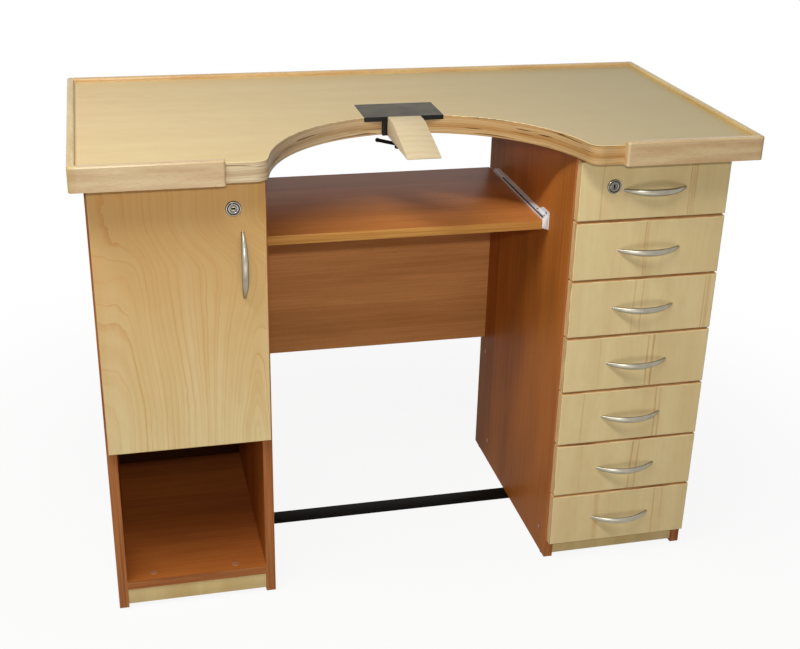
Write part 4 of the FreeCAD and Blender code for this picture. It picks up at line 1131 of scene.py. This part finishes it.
def eased(node: Thing, name: str, width: float, steps: int = 2) -> Thing:
    """Copies a plain board of the frame and breaks its sharp edges, which then catch the light.

    Args:
        node: the frame's board.
        name: the copy's name.
        width: how much the edges are broken, in millimetres.
        steps: how many facets round each edge.

    Returns:
        The copy.
    """
    piece = bpy.data.objects.new(name, node.data.copy())
    bpy.context.scene.collection.objects.link(piece)
    piece.data.materials.clear()
    with edit(piece, everything=True):
        bpy.ops.mesh.customdata_custom_splitnormals_clear()
        bpy.ops.mesh.remove_doubles(threshold=WELD_BOARD * MM)
        bpy.ops.mesh.dissolve_limited(angle_limit=FLAT_UNDER)
    sizes = {"width": width * MM, "segments": steps, "limit_method": "ANGLE"}
    apply_modifier(piece, "BEVEL", angle_limit=EDGE_OVER, use_clamp_overlap=True, **sizes)
    return settle(piece, name)


@dataclass
class Assembly:
    """What every group of new pieces has: the frame's nodes and a way to fit a piece in."""

    nodes: dict[str, Thing]

    def fit(
            self, piece: Thing, body: str, slot: Slot, finish: bpy.types.Material, *stands_for: str) -> Thing:
        """Dresses a finished piece and lets it ride on its body.

        Args:
            piece: the piece.
            body: the body that carries it.
            slot: the record's material slot; not used.
            finish: its material.
            stands_for: the frame's nodes that it stands for.

        Returns:
            The same piece.
        """
        dress(piece, finish)
        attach(piece, body)
        if stands_for:
            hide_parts(*stands_for)
        LOG.info("%s rides on %s, finish %s", piece.name, body, finish.name)
        return piece

    def keep(self, name: str, finish: bpy.types.Material) -> None:
        """Dresses one of the frame's nodes, which keeps its shape.

        Args:
            name: the node.
            finish: its material.
        """
        dress(self.nodes[name], finish)
        LOG.info("%s keeps the frame's shape, finish %s", name, finish.name)


# ---------------------------------------------------------------- light and camera


@dataclass(frozen=True)
class Viewpoint:
    """Where the camera stands and how it looks: turned right, tipped down and rolled."""

    place: Point = (-0.5396, -2.2632, 1.4951)
    yaw: float = 14.3795
    pitch: float = 24.9614
    roll: float = 1.6124
    focal_pixels: float = 1258.3
    centre_pixel: tuple[float, float] = (411.2, 343.6)
    frame_pixels: tuple[int, int] = (800, 649)
    sensor: float = 36.0
    sight: float = 100.0

    def camera(self) -> Thing:
        """Builds the camera.

        Returns:
            The camera, set as the scene's.
        """
        yaw, pitch, roll = (math.radians(angle) for angle in (self.yaw, self.pitch, self.roll))
        flat = math.cos(pitch)
        ahead = Vector((math.sin(yaw) * flat, math.cos(yaw) * flat, -math.sin(pitch)))
        level = Vector((math.cos(yaw), -math.sin(yaw), 0.0))
        upright = level.cross(ahead)
        right = math.cos(roll) * level + math.sin(roll) * upright
        up = math.cos(roll) * upright - math.sin(roll) * level
        width, height = self.frame_pixels
        lens = bpy.data.cameras.new("camera")
        lens.sensor_fit = "HORIZONTAL"
        lens.sensor_width = self.sensor
        lens.lens = self.focal_pixels / width * self.sensor
        lens.shift_x = (width / 2 - self.centre_pixel[0]) / width
        lens.shift_y = (self.centre_pixel[1] - height / 2) / width
        lens.clip_end = self.sight
        camera = bpy.data.objects.new("camera", lens)
        turn = Matrix((right, up, -ahead)).transposed().to_4x4()
        camera.matrix_world = Matrix.Translation(self.place) @ turn
        bpy.context.scene.collection.objects.link(camera)
        bpy.context.scene.camera = camera
        return camera


@dataclass(frozen=True)
class Panel:
    """A soft box: a rectangular lamp that looks at a point."""

    name: str
    place: Point
    target: Point
    size: tuple[float, float]
    power: float
    colour: str = WHITE

    def lamp(self) -> Thing:
        """Builds the lamp.

        Returns:
            The lamp.
        """
        light = bpy.data.lights.new(self.name, "AREA")
        light.shape = "RECTANGLE"
        light.size, light.size_y = self.size
        light.energy = self.power
        light.color = linear(self.colour)[:3]
        lamp = bpy.data.objects.new(self.name, light)
        lamp.location = self.place
        lamp.visible_camera = False
        aim = Vector(self.target) - Vector(self.place)
        lamp.rotation_euler = aim.to_track_quat("-Z", "Y").to_euler()
        bpy.context.scene.collection.objects.link(lamp)
        return lamp


@dataclass
class Studio:
    """The plain surroundings: a pale floor, a white background, two lamps and the light off the floor."""

    floor_size: float = 30.0
    floor_seen: str = "#F4F3F0"
    floor_lit: str = "#8F8C86"
    shadow_share: float = 0.10
    shadow_reach: tuple[float, float] = (0.6, 1.7)
    ambient: float = 0.11
    overhead: Panel = Panel("overhead_lamp", (-1.15, -1.18, 3.05), (0.0, -0.05, 0.6), (2.8, 0.2), 60.0)
    front: Panel = Panel("front_lamp", (-0.54, -2.30, 1.64), (0.0, 0.0, 0.5), (0.06, 0.06), 15.2)
    bounce: Panel = Panel("floor_bounce", (-0.2, -1.7, 0.06), (0.0, -0.2, 0.5), (1.6, 0.8), 8.0)

    def seen(self, tree: Tree) -> Socket:
        """Gives 1 where the background is seen by the camera or in a mirror.

        Args:
            tree: the material's tree.

        Returns:
            The mask.
        """
        path = add_node(tree, "LightPath")
        either = (path["Is Camera Ray"], path["Is Glossy Ray"])
        first = add_node(tree, "Math", either, operation="MAXIMUM")[0]
        both = (first, path["Is Transmission Ray"])
        return add_node(tree, "Math", both, operation="MAXIMUM")[0]

    def world(self) -> None:
        """Sets a white background and a little light from all round."""
        world = bpy.data.worlds.new("studio")
        world.use_nodes = True
        tree = world.node_tree
        tree.nodes.clear()
        levels = (self.seen(tree), 0.0, 1.0, self.ambient, 1.0)
        strength = add_node(tree, "MapRange", levels)[0]
        sky = add_node(tree, "Background", {"Color": WHITE, "Strength": strength})
        add_node(tree, "OutputWorld", (sky[0],))
        bpy.context.scene.world = world

    def floor(self) -> Thing:
        """Builds the floor, nearly white to the eye, with the bench's shadow on it.

        Returns:
            The floor.
        """
        bpy.ops.mesh.primitive_plane_add(size=self.floor_size)
        floor = bpy.context.active_object
        floor.name = "floor"
        material = bpy.data.materials.new("painted_floor")
        material.use_nodes = True
        tree = material.node_tree
        tree.nodes.clear()
        seen = self.seen(tree)
        colour = layered(tree, self.floor_lit, (seen, self.floor_seen))
        matt = add_node(tree, "BsdfDiffuse", {"Color": colour})
        glow = add_node(tree, "Emission", {"Color": WHITE, "Strength": 1.0})
        place = add_node(tree, "TexCoord")["Object"]
        away = add_node(tree, "VectorMath", (place,), operation="LENGTH")["Value"]
        plain = (away, *self.shadow_reach, 1.0 - self.shadow_share, 1.0)
        plain = add_node(tree, "MapRange", plain, interpolation_type="SMOOTHSTEP")[0]
        share = add_node(tree, "Math", (seen, plain), operation="MULTIPLY")[0]
        mixed = add_node(tree, "MixShader", (share, matt[0], glow[0]))
        add_node(tree, "OutputMaterial", (mixed[0],))
        dress(floor, material)
        return floor

    def build(self) -> None:
        """Sets up the floor, the world, the lamps and the colour view."""
        self.floor()
        self.world()
        self.overhead.lamp()
        self.front.lamp()
        self.bounce.lamp()
        bpy.context.scene.view_settings.view_transform = "Standard"


# ---------------------------------------------------------------- boards


DRAWER_MARKS = (
    (Streak(327, 2.0, 0.45), Streak(497, 2.5, 0.55), Streak(503, 9, 0.3), Streak(509, 2.5, 0.5)),
    (Streak(421, 2.5, 0.55), Streak(426, 6, 0.2)),
    (Streak(411, 3, 0.4), Streak(428, 3, 0.4), Streak(552, 3, 0.45), Streak(559, 8, 0.3)),
    (Streak(352, 2, 0.25), Streak(450, 4, 0.6), Streak(461, 5, 0.6)),
    (Streak(327, 2, 0.4), Streak(478, 4, 0.55), Streak(487, 4, 0.45)),
    (Streak(334, 2, 0.3), Streak(441, 5, 0.55), Streak(455, 4, 0.5)),
    (Streak(377, 14, 0.35), Streak(500, 3, 0.45), Streak(518, 3, 0.3)),
)


@dataclass
class Woodwork(Assembly):
    """The boards. Rounded ones stay as the frame has them, and plain ones get eased copies."""

    board_ease: float = 0.6
    bar_ease: float = 0.5
    next_sheet: tuple[float, float] = (0.37, 0.21)
    plain: dict[str, Slot] = field(default_factory=lambda: {
        "modesty_panel": Slot.LAMINATE,
        "plinth_boards": Slot.FRONT,
        "tray_board": Slot.LAMINATE,
        "tie_bar": Slot.BLACK,
    })

    def laminates(self) -> dict[str, Finish]:
        """Gives the laminated boards' finishes by their nodes.

        Returns:
            The finishes: staves stand on the sides and lie across the middle.
        """
        warm = {"light": "#CC8446", "dark": "#AE6A32", "roughness": 0.42, "specular": 0.08}
        # The middle boards' staves are lighter and pinker than the sides': partly their own tone, partly
        # painted light under the tray.
        middle = {"light": "#E5A263", "dark": "#C6864E", "stave": 62.0}
        deck = {"light": "#BA6C30", "dark": "#985328"}
        honey = {"band_light": "#D39A52", "band_dark": "#B97C3A"}
        return {
            "left_outer_side": CherryLaminate("cherry_laminate_1", STANDING_SIDE, (0.1, 0.31, 0.0)),
            "left_inner_side": CherryLaminate("cherry_laminate_2", STANDING_SIDE, (0.5, 0.12, 0.0)),
            "right_inner_side": CherryLaminate("cherry_laminate_3"),
            "right_outer_side": CherryLaminate("cherry_laminate_4", STANDING_SIDE, (0.8, 0.47, 0.0)),
            "cabinet_top_rails": CherryLaminate("cherry_laminate_rails", LYING, (0.2, 0.05, 0.0)),
            "cabinet_decks": CherryLaminate("cherry_laminate_decks", LYING, (0.9, 0.02, 0.0), **deck),
            "cabinet_backs": NicheBack("cherry_laminate_backs", LYING_FRONT, (0.4, 0.02, 0.0)),
            "modesty_panel": CherryLaminate(
                "cherry_laminate_middle", LYING_FRONT, (0.0, 0.04, 0.0), **middle),
            "tray_board": CherryLaminate("cherry_laminate_tray", LYING, (0.6, 0.03, 0.0), **warm, **honey),
        }

    def finishes(self) -> dict[str, Finish]:
        """Gives every board's finish by its node.

        Returns:
            The finishes.
        """
        table = self.laminates()
        table |= {
            "worktop": Worktop("birch_plywood_top"),
            "back_edge_trim": SolidBeech("beech_back", LYING_FRONT, (0.3, 0.0, 0.1), "#E4C289", "#D1A569"),
            "side_edge_trims": CornerBeech(
                "beech_ends", LYING_SIDE, (0.7, 0.1, 0.0), "#E5C984", "#D0AF6C"),
            "front_edge_trims": CornerBeech.front,
            "plinth_boards": DrawerBirch(
                "birch_plywood_plinths", STANDING_FRONT, (0.2, 0.6, 0.0), "#E7CE93", "#D8BA7E"),
            "cabinet_door": DoorBirch("birch_plywood_door"),
            "tie_bar": BLACK_COAT,
        }
        for number, marks in enumerate(DRAWER_MARKS, start=1):
            shift = (*(step * number for step in self.next_sheet), 0.0)
            front = DrawerBirch(f"birch_plywood_drawer_{number}", shift=shift, marks=marks)
            table[f"drawer_{number}_front"] = front
            table[f"drawer_{number}_box"] = BirchPlywood(f"birch_drawer_box_{number}", LYING, shift)
        return table

    def build(self) -> None:
        """Dresses every board, and stands an eased copy in for each plain one."""
        for name, finish in self.finishes().items():
            material = finish.material()
            if name not in self.plain:
                self.keep(name, material)
                continue
            dress(self.nodes[name], material)
            width = self.bar_ease if name == "tie_bar" else self.board_ease
            board = eased(self.nodes[name], f"eased_{name}", width)
            body = self.nodes[name]["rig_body"]
            self.fit(board, body, self.plain[name], material, name)


# ---------------------------------------------------------------- handles and locks


@dataclass
class Handles(Assembly):
    """The bow handles: a flat bar bent to an arc, widest at its middle, with its ends let into the wood."""

    front: float = -243.5
    half_span: float = 59.0
    rise: float = 23.0
    middle: tuple[float, float] = (8.0, 12.0)
    tip: tuple[float, float] = (4.6, 5.4)
    overrun: float = 1.05
    taper: float = 2.2
    steps: int = 28
    around: int = 24
    door_place: Point = (-322.0, 0.0, 698.5)
    drawer_across: float = 428.0
    drawer_top: float = 796.75
    drawer_pitch: float = 116.0
    drawers: int = 7

    def section(self, share: float) -> tuple[float, float]:
        """Gives the bar's thickness and width.

        Args:
            share: where along the bar, from -1 to 1.

        Returns:
            The thickness and the width, in millimetres.
        """
        full = 1 - abs(share) ** self.taper
        return tuple(low + (high - low) * full for low, high in zip(self.tip, self.middle))

    def bar(self) -> Thing:
        """Draws the bar out along its arc, level, with its feet on the wood.

        Returns:
            The pattern for all the handles, in the middle of the bench.
        """
        radius = (self.half_span ** 2 + self.rise ** 2) / (2 * self.rise)
        end = self.overrun * math.asin(self.half_span / radius)
        stations = [end * (2 * step / self.steps - 1) for step in range(self.steps + 1)]
        crown = self.front - self.rise
        arc = [(radius * math.sin(turn), crown + radius * (1 - math.cos(turn)), 0) for turn in stations]
        centres = [Vector(point) * MM for point in arc]
        thick, wide = self.section(-1)
        bpy.ops.object.select_all(action="DESELECT")
        bpy.ops.mesh.primitive_circle_add(
            vertices=self.around, radius=0.5 * MM, fill_type="NGON", location=centres[0],
            rotation=(0.0, math.pi / 2, 0.0))
        piece = bpy.context.active_object
        with edit(piece, everything=True):
            bpy.ops.transform.resize(value=(1, thick, wide), center_override=centres[0])
            bpy.ops.transform.rotate(value=-stations[0], orient_axis="Z", center_override=centres[0])
            for step in range(1, self.steps + 1):
                here, there = centres[step - 1], centres[step]
                new_thick, new_wide = self.section(2 * step / self.steps - 1)
                bpy.ops.mesh.extrude_region_move(TRANSFORM_OT_translate={"value": there - here})
                bpy.ops.transform.rotate(value=stations[step - 1], orient_axis="Z", center_override=there)
                ratio = (1, new_thick / thick, new_wide / wide)
                bpy.ops.transform.resize(value=ratio, center_override=there)
                bpy.ops.transform.rotate(value=-stations[step], orient_axis="Z", center_override=there)
                thick, wide = new_thick, new_wide
            bpy.ops.mesh.select_all(action="SELECT")
            wood = (0.0, self.front * MM, 0.0)
            bpy.ops.mesh.bisect(plane_co=wood, plane_no=(0, 1, 0), use_fill=True, clear_outer=True)
            bpy.ops.mesh.select_all(action="SELECT")
            bpy.ops.mesh.normals_make_consistent(inside=False)
        return settle(piece, "handle_pattern")

    def build(self) -> None:
        """Copies the handle to the door, upright, and to each drawer."""
        pattern = self.bar()
        nickel = SATIN_NICKEL.material()
        upright = copied(pattern, "door_bow_handle", self.door_place, 90)
        self.fit(upright, "door", Slot.NICKEL, nickel, "door_handle")
        for number in range(1, self.drawers + 1):
            height = self.drawer_top - self.drawer_pitch * (number - 1)
            handle = copied(pattern, f"drawer_{number}_bow_handle", (self.drawer_across, 0.0, height))
            self.fit(handle, f"drawer_{number}", Slot.NICKEL, nickel, f"drawer_{number}_handle")
        discard(pattern)


@dataclass
class Locks(Assembly):
    """The cam locks: a ringed cover with its barrel, and a plug with a key slot and a cam behind."""

    front: float = -243.5
    cover: tuple = (
        (5.55, -22.0), (9.0, -22.0), (9.0, 0.0), (13.5, 0.0), (13.5, 0.9), (13.1, 1.7), (12.4, 2.25),
        (11.8, 2.5), (11.2, 2.4), (10.7, 1.9), (10.4, 1.2), (10.1, 0.7), (9.4, 0.7), (9.1, 1.2),
        (8.9, 1.9), (8.4, 2.15), (6.5, 2.0), (5.9, 1.7), (5.55, 1.2))
    plug: tuple = (
        (5.4, -22.3), (5.4, 0.55), (5.2, 0.9), (4.8, 1.0), (4.2, 1.0), (4.0, 0.8), (3.7, 0.8), (3.5, 1.0))
    plug_proud: float = 1.0
    slot_size: tuple[float, float, float] = (6.8, 3.4, 6.0)
    cam_width: float = 12.0
    cam_reach: tuple[float, float] = (-30.0, 6.0)
    cam_depth: tuple[float, float] = (22.3, 24.3)
    cam_corner: float = 5.6
    cam_steps: int = 6
    places: tuple = (("door", (-336.5, 801.5), 0.0), ("drawer_1", (347.5, 805.0), -90.0))

    def cover_pattern(self) -> Thing:
        """Turns the ringed cover with its barrel."""
        cover = turned((0, self.front, 0), Way.FRONT, self.cover, around=56, hollow=True)
        return settle(cover, "cover_pattern")

    def plug_pattern(self) -> Thing:
        """Turns the plug, cuts its key slot and joins its cam.

        Returns:
            The plug with its cam hanging down and its key slot level.
        """
        plug = turned((0, self.front, 0), Way.FRONT, self.plug)
        wide, high, deep = self.slot_size
        face = self.front - self.plug_proud
        low = (-wide / 2, face - self.plug_proud, -high / 2)
        cut_out(plug, block(low, (wide / 2, face + deep, high / 2)))
        near, far = (self.front + depth for depth in self.cam_depth)
        bottom, top = self.cam_reach
        cam = block((-self.cam_width / 2, near, bottom), (self.cam_width / 2, far, top))
        with edit(cam):
            pick(cam, "EDGE", lambda middle, along: abs(along.y) > ALIGNED)
            bpy.ops.mesh.bevel(offset=self.cam_corner * MM, segments=self.cam_steps, affect="EDGES")
        take(plug)
        cam.select_set(True)
        bpy.ops.object.join()
        return settle(plug, "plug_pattern")

    def build(self) -> None:
        """Puts a lock in the door and one in the top drawer."""
        cover, plug = self.cover_pattern(), self.plug_pattern()
        for body, (across, height), tilt in self.places:
            chrome = RingedChrome(f"chrome_plate_{body}", roughness=0.2, centre=(across, height)).material()
            shift = (across, 0.0, height)
            ring = copied(cover, f"{body}_lock_cover", shift)
            self.fit(ring, body, Slot.CHROME, chrome, f"{body}_lock_body")
            core = copied(plug, f"{body}_lock_core", shift, tilt)
            self.fit(core, f"{body}_lock_plug", Slot.CHROME, chrome, f"{body}_lock_plug")
        discard(cover, plug)


# ---------------------------------------------------------------- hinges, tray slide and clamp


@dataclass
class Fittings(Assembly):
    """The small fittings: hinge cups, filler over nails and caps over spare holes."""

    hinge_across: float = -552.0
    hinge_heights: tuple[float, float] = (440.0, 762.5)
    cup_floor: float = -237.0
    cup: tuple = (
        (17.2, 0.0), (17.5, 0.6), (17.5, 11.5), (16.4, 11.5), (15.6, 11.1), (15.0, 10.2), (14.8, 1.2),
        (14.2, 0.8))
    filler: tuple = ((-568.6, 882.4), (-390.6, 883.0), (404.1, 883.6), (562.1, 886.4))
    filler_shape: tuple = ((1.6, -0.15), (1.5, -0.07), (1.1, -0.01))
    trim_front: float = -305.0
    cap_places: tuple = ((-509.9, -202.8), (-352.6, -205.4))
    cap_shape: tuple = ((7.4, 0.0), (7.3, 0.4), (6.9, 0.7), (5.0, 0.8))
    niche_floor: float = 62.0

    def hinge_cups(self) -> None:
        """Turns the hinge cups and sets them in the door's back."""
        nickel = SATIN_NICKEL.material()
        start = (self.hinge_across, self.cup_floor, 0.0)
        pattern = settle(turned(start, Way.BACK, self.cup, around=48), "cup_pattern")
        for number, height in enumerate(self.hinge_heights, start=1):
            cup = copied(pattern, f"hinge_cup_{number}", (0.0, 0.0, height))
            self.fit(cup, "door", Slot.NICKEL, nickel, "hinge_cups")
        discard(pattern)

    def filler_dots(self) -> None:
        """Sets a dot of filler over each nail of the front trims."""
        putty = PUTTY.material()
        for number, (across, height) in enumerate(self.filler, start=1):
            foot = (across, self.trim_front, height)
            dot = turned(foot, Way.FRONT, self.filler_shape, around=20)
            self.fit(settle(dot, f"filler_dot_{number}"), "root", Slot.TRIM, putty)

    def niche_caps(self) -> None:
        """Sets the caps over the spare holes in the niche's floor."""
        plastic = PINK_CAP.material()
        for number, (across, depth) in enumerate(self.cap_places, start=1):
            cap = turned((across, depth, self.niche_floor), Way.UP, self.cap_shape, around=32)
            self.fit(settle(cap, f"niche_cap_{number}"), "root", Slot.CAP, plastic)

    def build(self) -> None:
        """Builds the small fittings."""
        self.hinge_cups()
        self.filler_dots()
        self.niche_caps()


@dataclass
class TraySlide(Assembly):
    """What the tray's slides show: strips of painted shade in the runners' gaps and end noses that move with
    it, rivets and plate screws.
    """

    # Painted shade: a dark strip where the runner's gap to the rail is.
    gap_shade_across: tuple[float, float] = (265.2, 268.1)
    gap_shade_along: tuple[float, float] = (-106.0, 150.0)
    gap_shade_height: tuple[float, float] = (703.0, 704.3)
    rail_top: float = 705.0
    rivet_across: float = 272.2
    rivet_along: tuple[float, ...] = (-58.0, -98.0)
    rivet_shape: tuple = ((2.1, -0.2), (2.1, 0.15), (1.7, 0.5), (0.9, 0.7))
    plate_face: float = 275.5
    plate_screw: tuple[float, float] = (-99.0, 709.8)
    screw_shape: tuple = ((2.4, -0.2), (2.4, 0.2), (2.0, 0.7), (1.2, 0.95), (0.8, 0.95), (0.7, 0.4))
    nose_across: tuple[float, float] = (265.6, 274.4)
    nose_along: tuple[float, float] = (-110.6, -109.4)
    nose_height: tuple[float, float] = (683.4, 702.6)
    corner: float = 0.45

    def rounded(self, name: str, across: tuple, along: tuple, height: tuple) -> Thing:
        """Makes a bar with rounded edges.

        Args:
            name: the piece's name.
            across: where it starts and ends along X, in millimetres.
            along: where it starts and ends along Y.
            height: where it starts and ends along Z.

        Returns:
            The piece.
        """
        piece = block((min(across), along[0], height[0]), (max(across), along[1], height[1]))
        apply_modifier(piece, "BEVEL", width=self.corner * MM, segments=2, limit_method="ANGLE")
        return settle(piece, name)

    def build(self) -> None:
        """Fits both slides, the left one as the right one's mirror image."""
        gap_shade_and_rivet_finish, zinc, white = GAP_SHADE_AND_RIVETS.material(), ZINC.material(), POWDER_COAT.material()
        for number, side in enumerate((-1, 1), start=1):
            across = tuple(side * place for place in self.gap_shade_across)
            strip = self.rounded(f"tray_slide_gap_shade_{number}", across, self.gap_shade_along, self.gap_shade_height)
            self.fit(strip, "tray", Slot.BLACK, gap_shade_and_rivet_finish)
            across = tuple(side * place for place in self.nose_across)
            nose = self.rounded(f"tray_runner_nose_{number}", across, self.nose_along, self.nose_height)
            self.fit(nose, "tray", Slot.ZINC, white)
            for count, along in enumerate(self.rivet_along, start=1):
                foot = (side * self.rivet_across, along, self.rail_top)
                rivet = turned(foot, Way.UP, self.rivet_shape, around=20)
                self.fit(settle(rivet, f"tray_rivet_{number}_{count}"), "root", Slot.ZINC, gap_shade_and_rivet_finish)
            along, height = self.plate_screw
            way = Way.LEFT if side > 0 else Way.RIGHT
            head = turned((side * self.plate_face, along, height), way, self.screw_shape, around=24)
            self.fit(settle(head, f"tray_plate_screw_{number}"), "root", Slot.ZINC, zinc)


@dataclass
class BenchAnvil(Assembly):
    """The steel plate with its socket and clamp, and the wooden pin in the socket."""

    steel_ease: float = 0.35
    pin_ease: float = 0.7

    def build(self) -> None:
        """Eases the steel and the pin, and dresses the clamp's moving parts."""
        steel = RubbedAndSheenSteel("rubbed_and_sheen_oil_black_steel")
        anvil = eased(self.nodes["bench_anvil"], "eased_bench_anvil", self.steel_ease)
        self.fit(anvil, "root", Slot.TOOL, steel.material(), "bench_anvil")
        pin = eased(self.nodes["bench_pin"], "eased_bench_pin", self.pin_ease)
        self.fit(pin, "bench_pin", Slot.MAPLE, Maple("hard_maple").material(), "bench_pin")
        black = BLACK_STEEL.material()
        for name in ("clamp_pad", "clamp_screw", "tommy_bar"):
            self.keep(name, black)


@dataclass
class PlainHardware(Assembly):
    """The metal and plastic pieces whose shape the frame already gives."""

    finishes: dict[str, Finish] = field(default_factory=lambda: {
        "hinge_arms": SATIN_NICKEL,
        "runners": POWDER_COAT,
        "slide_rails": POWDER_COAT,
        "floor_glides": BLACK_COAT,
        "cabinet_screws": BROWN_CAP,
    })

    def build(self) -> None:
        """Dresses every piece of plain hardware."""
        for word, finish in self.finishes.items():
            material = finish.material()
            for name in [name for name in self.nodes if word in name]:
                self.keep(name, material)


def main() -> None:
    """Builds the looks around the frame."""
    logging.basicConfig(level=logging.INFO, format="%(name)s: %(message)s")
    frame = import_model()
    bpy.ops.object.select_all(action="DESELECT")
    Viewpoint().camera()
    Studio().build()
    nodes = frame["nodes"]
    for group in (Woodwork, Handles, Locks, Fittings, TraySlide, BenchAnvil, PlainHardware):
        group(nodes).build()


if __name__ == "__main__":
    main()
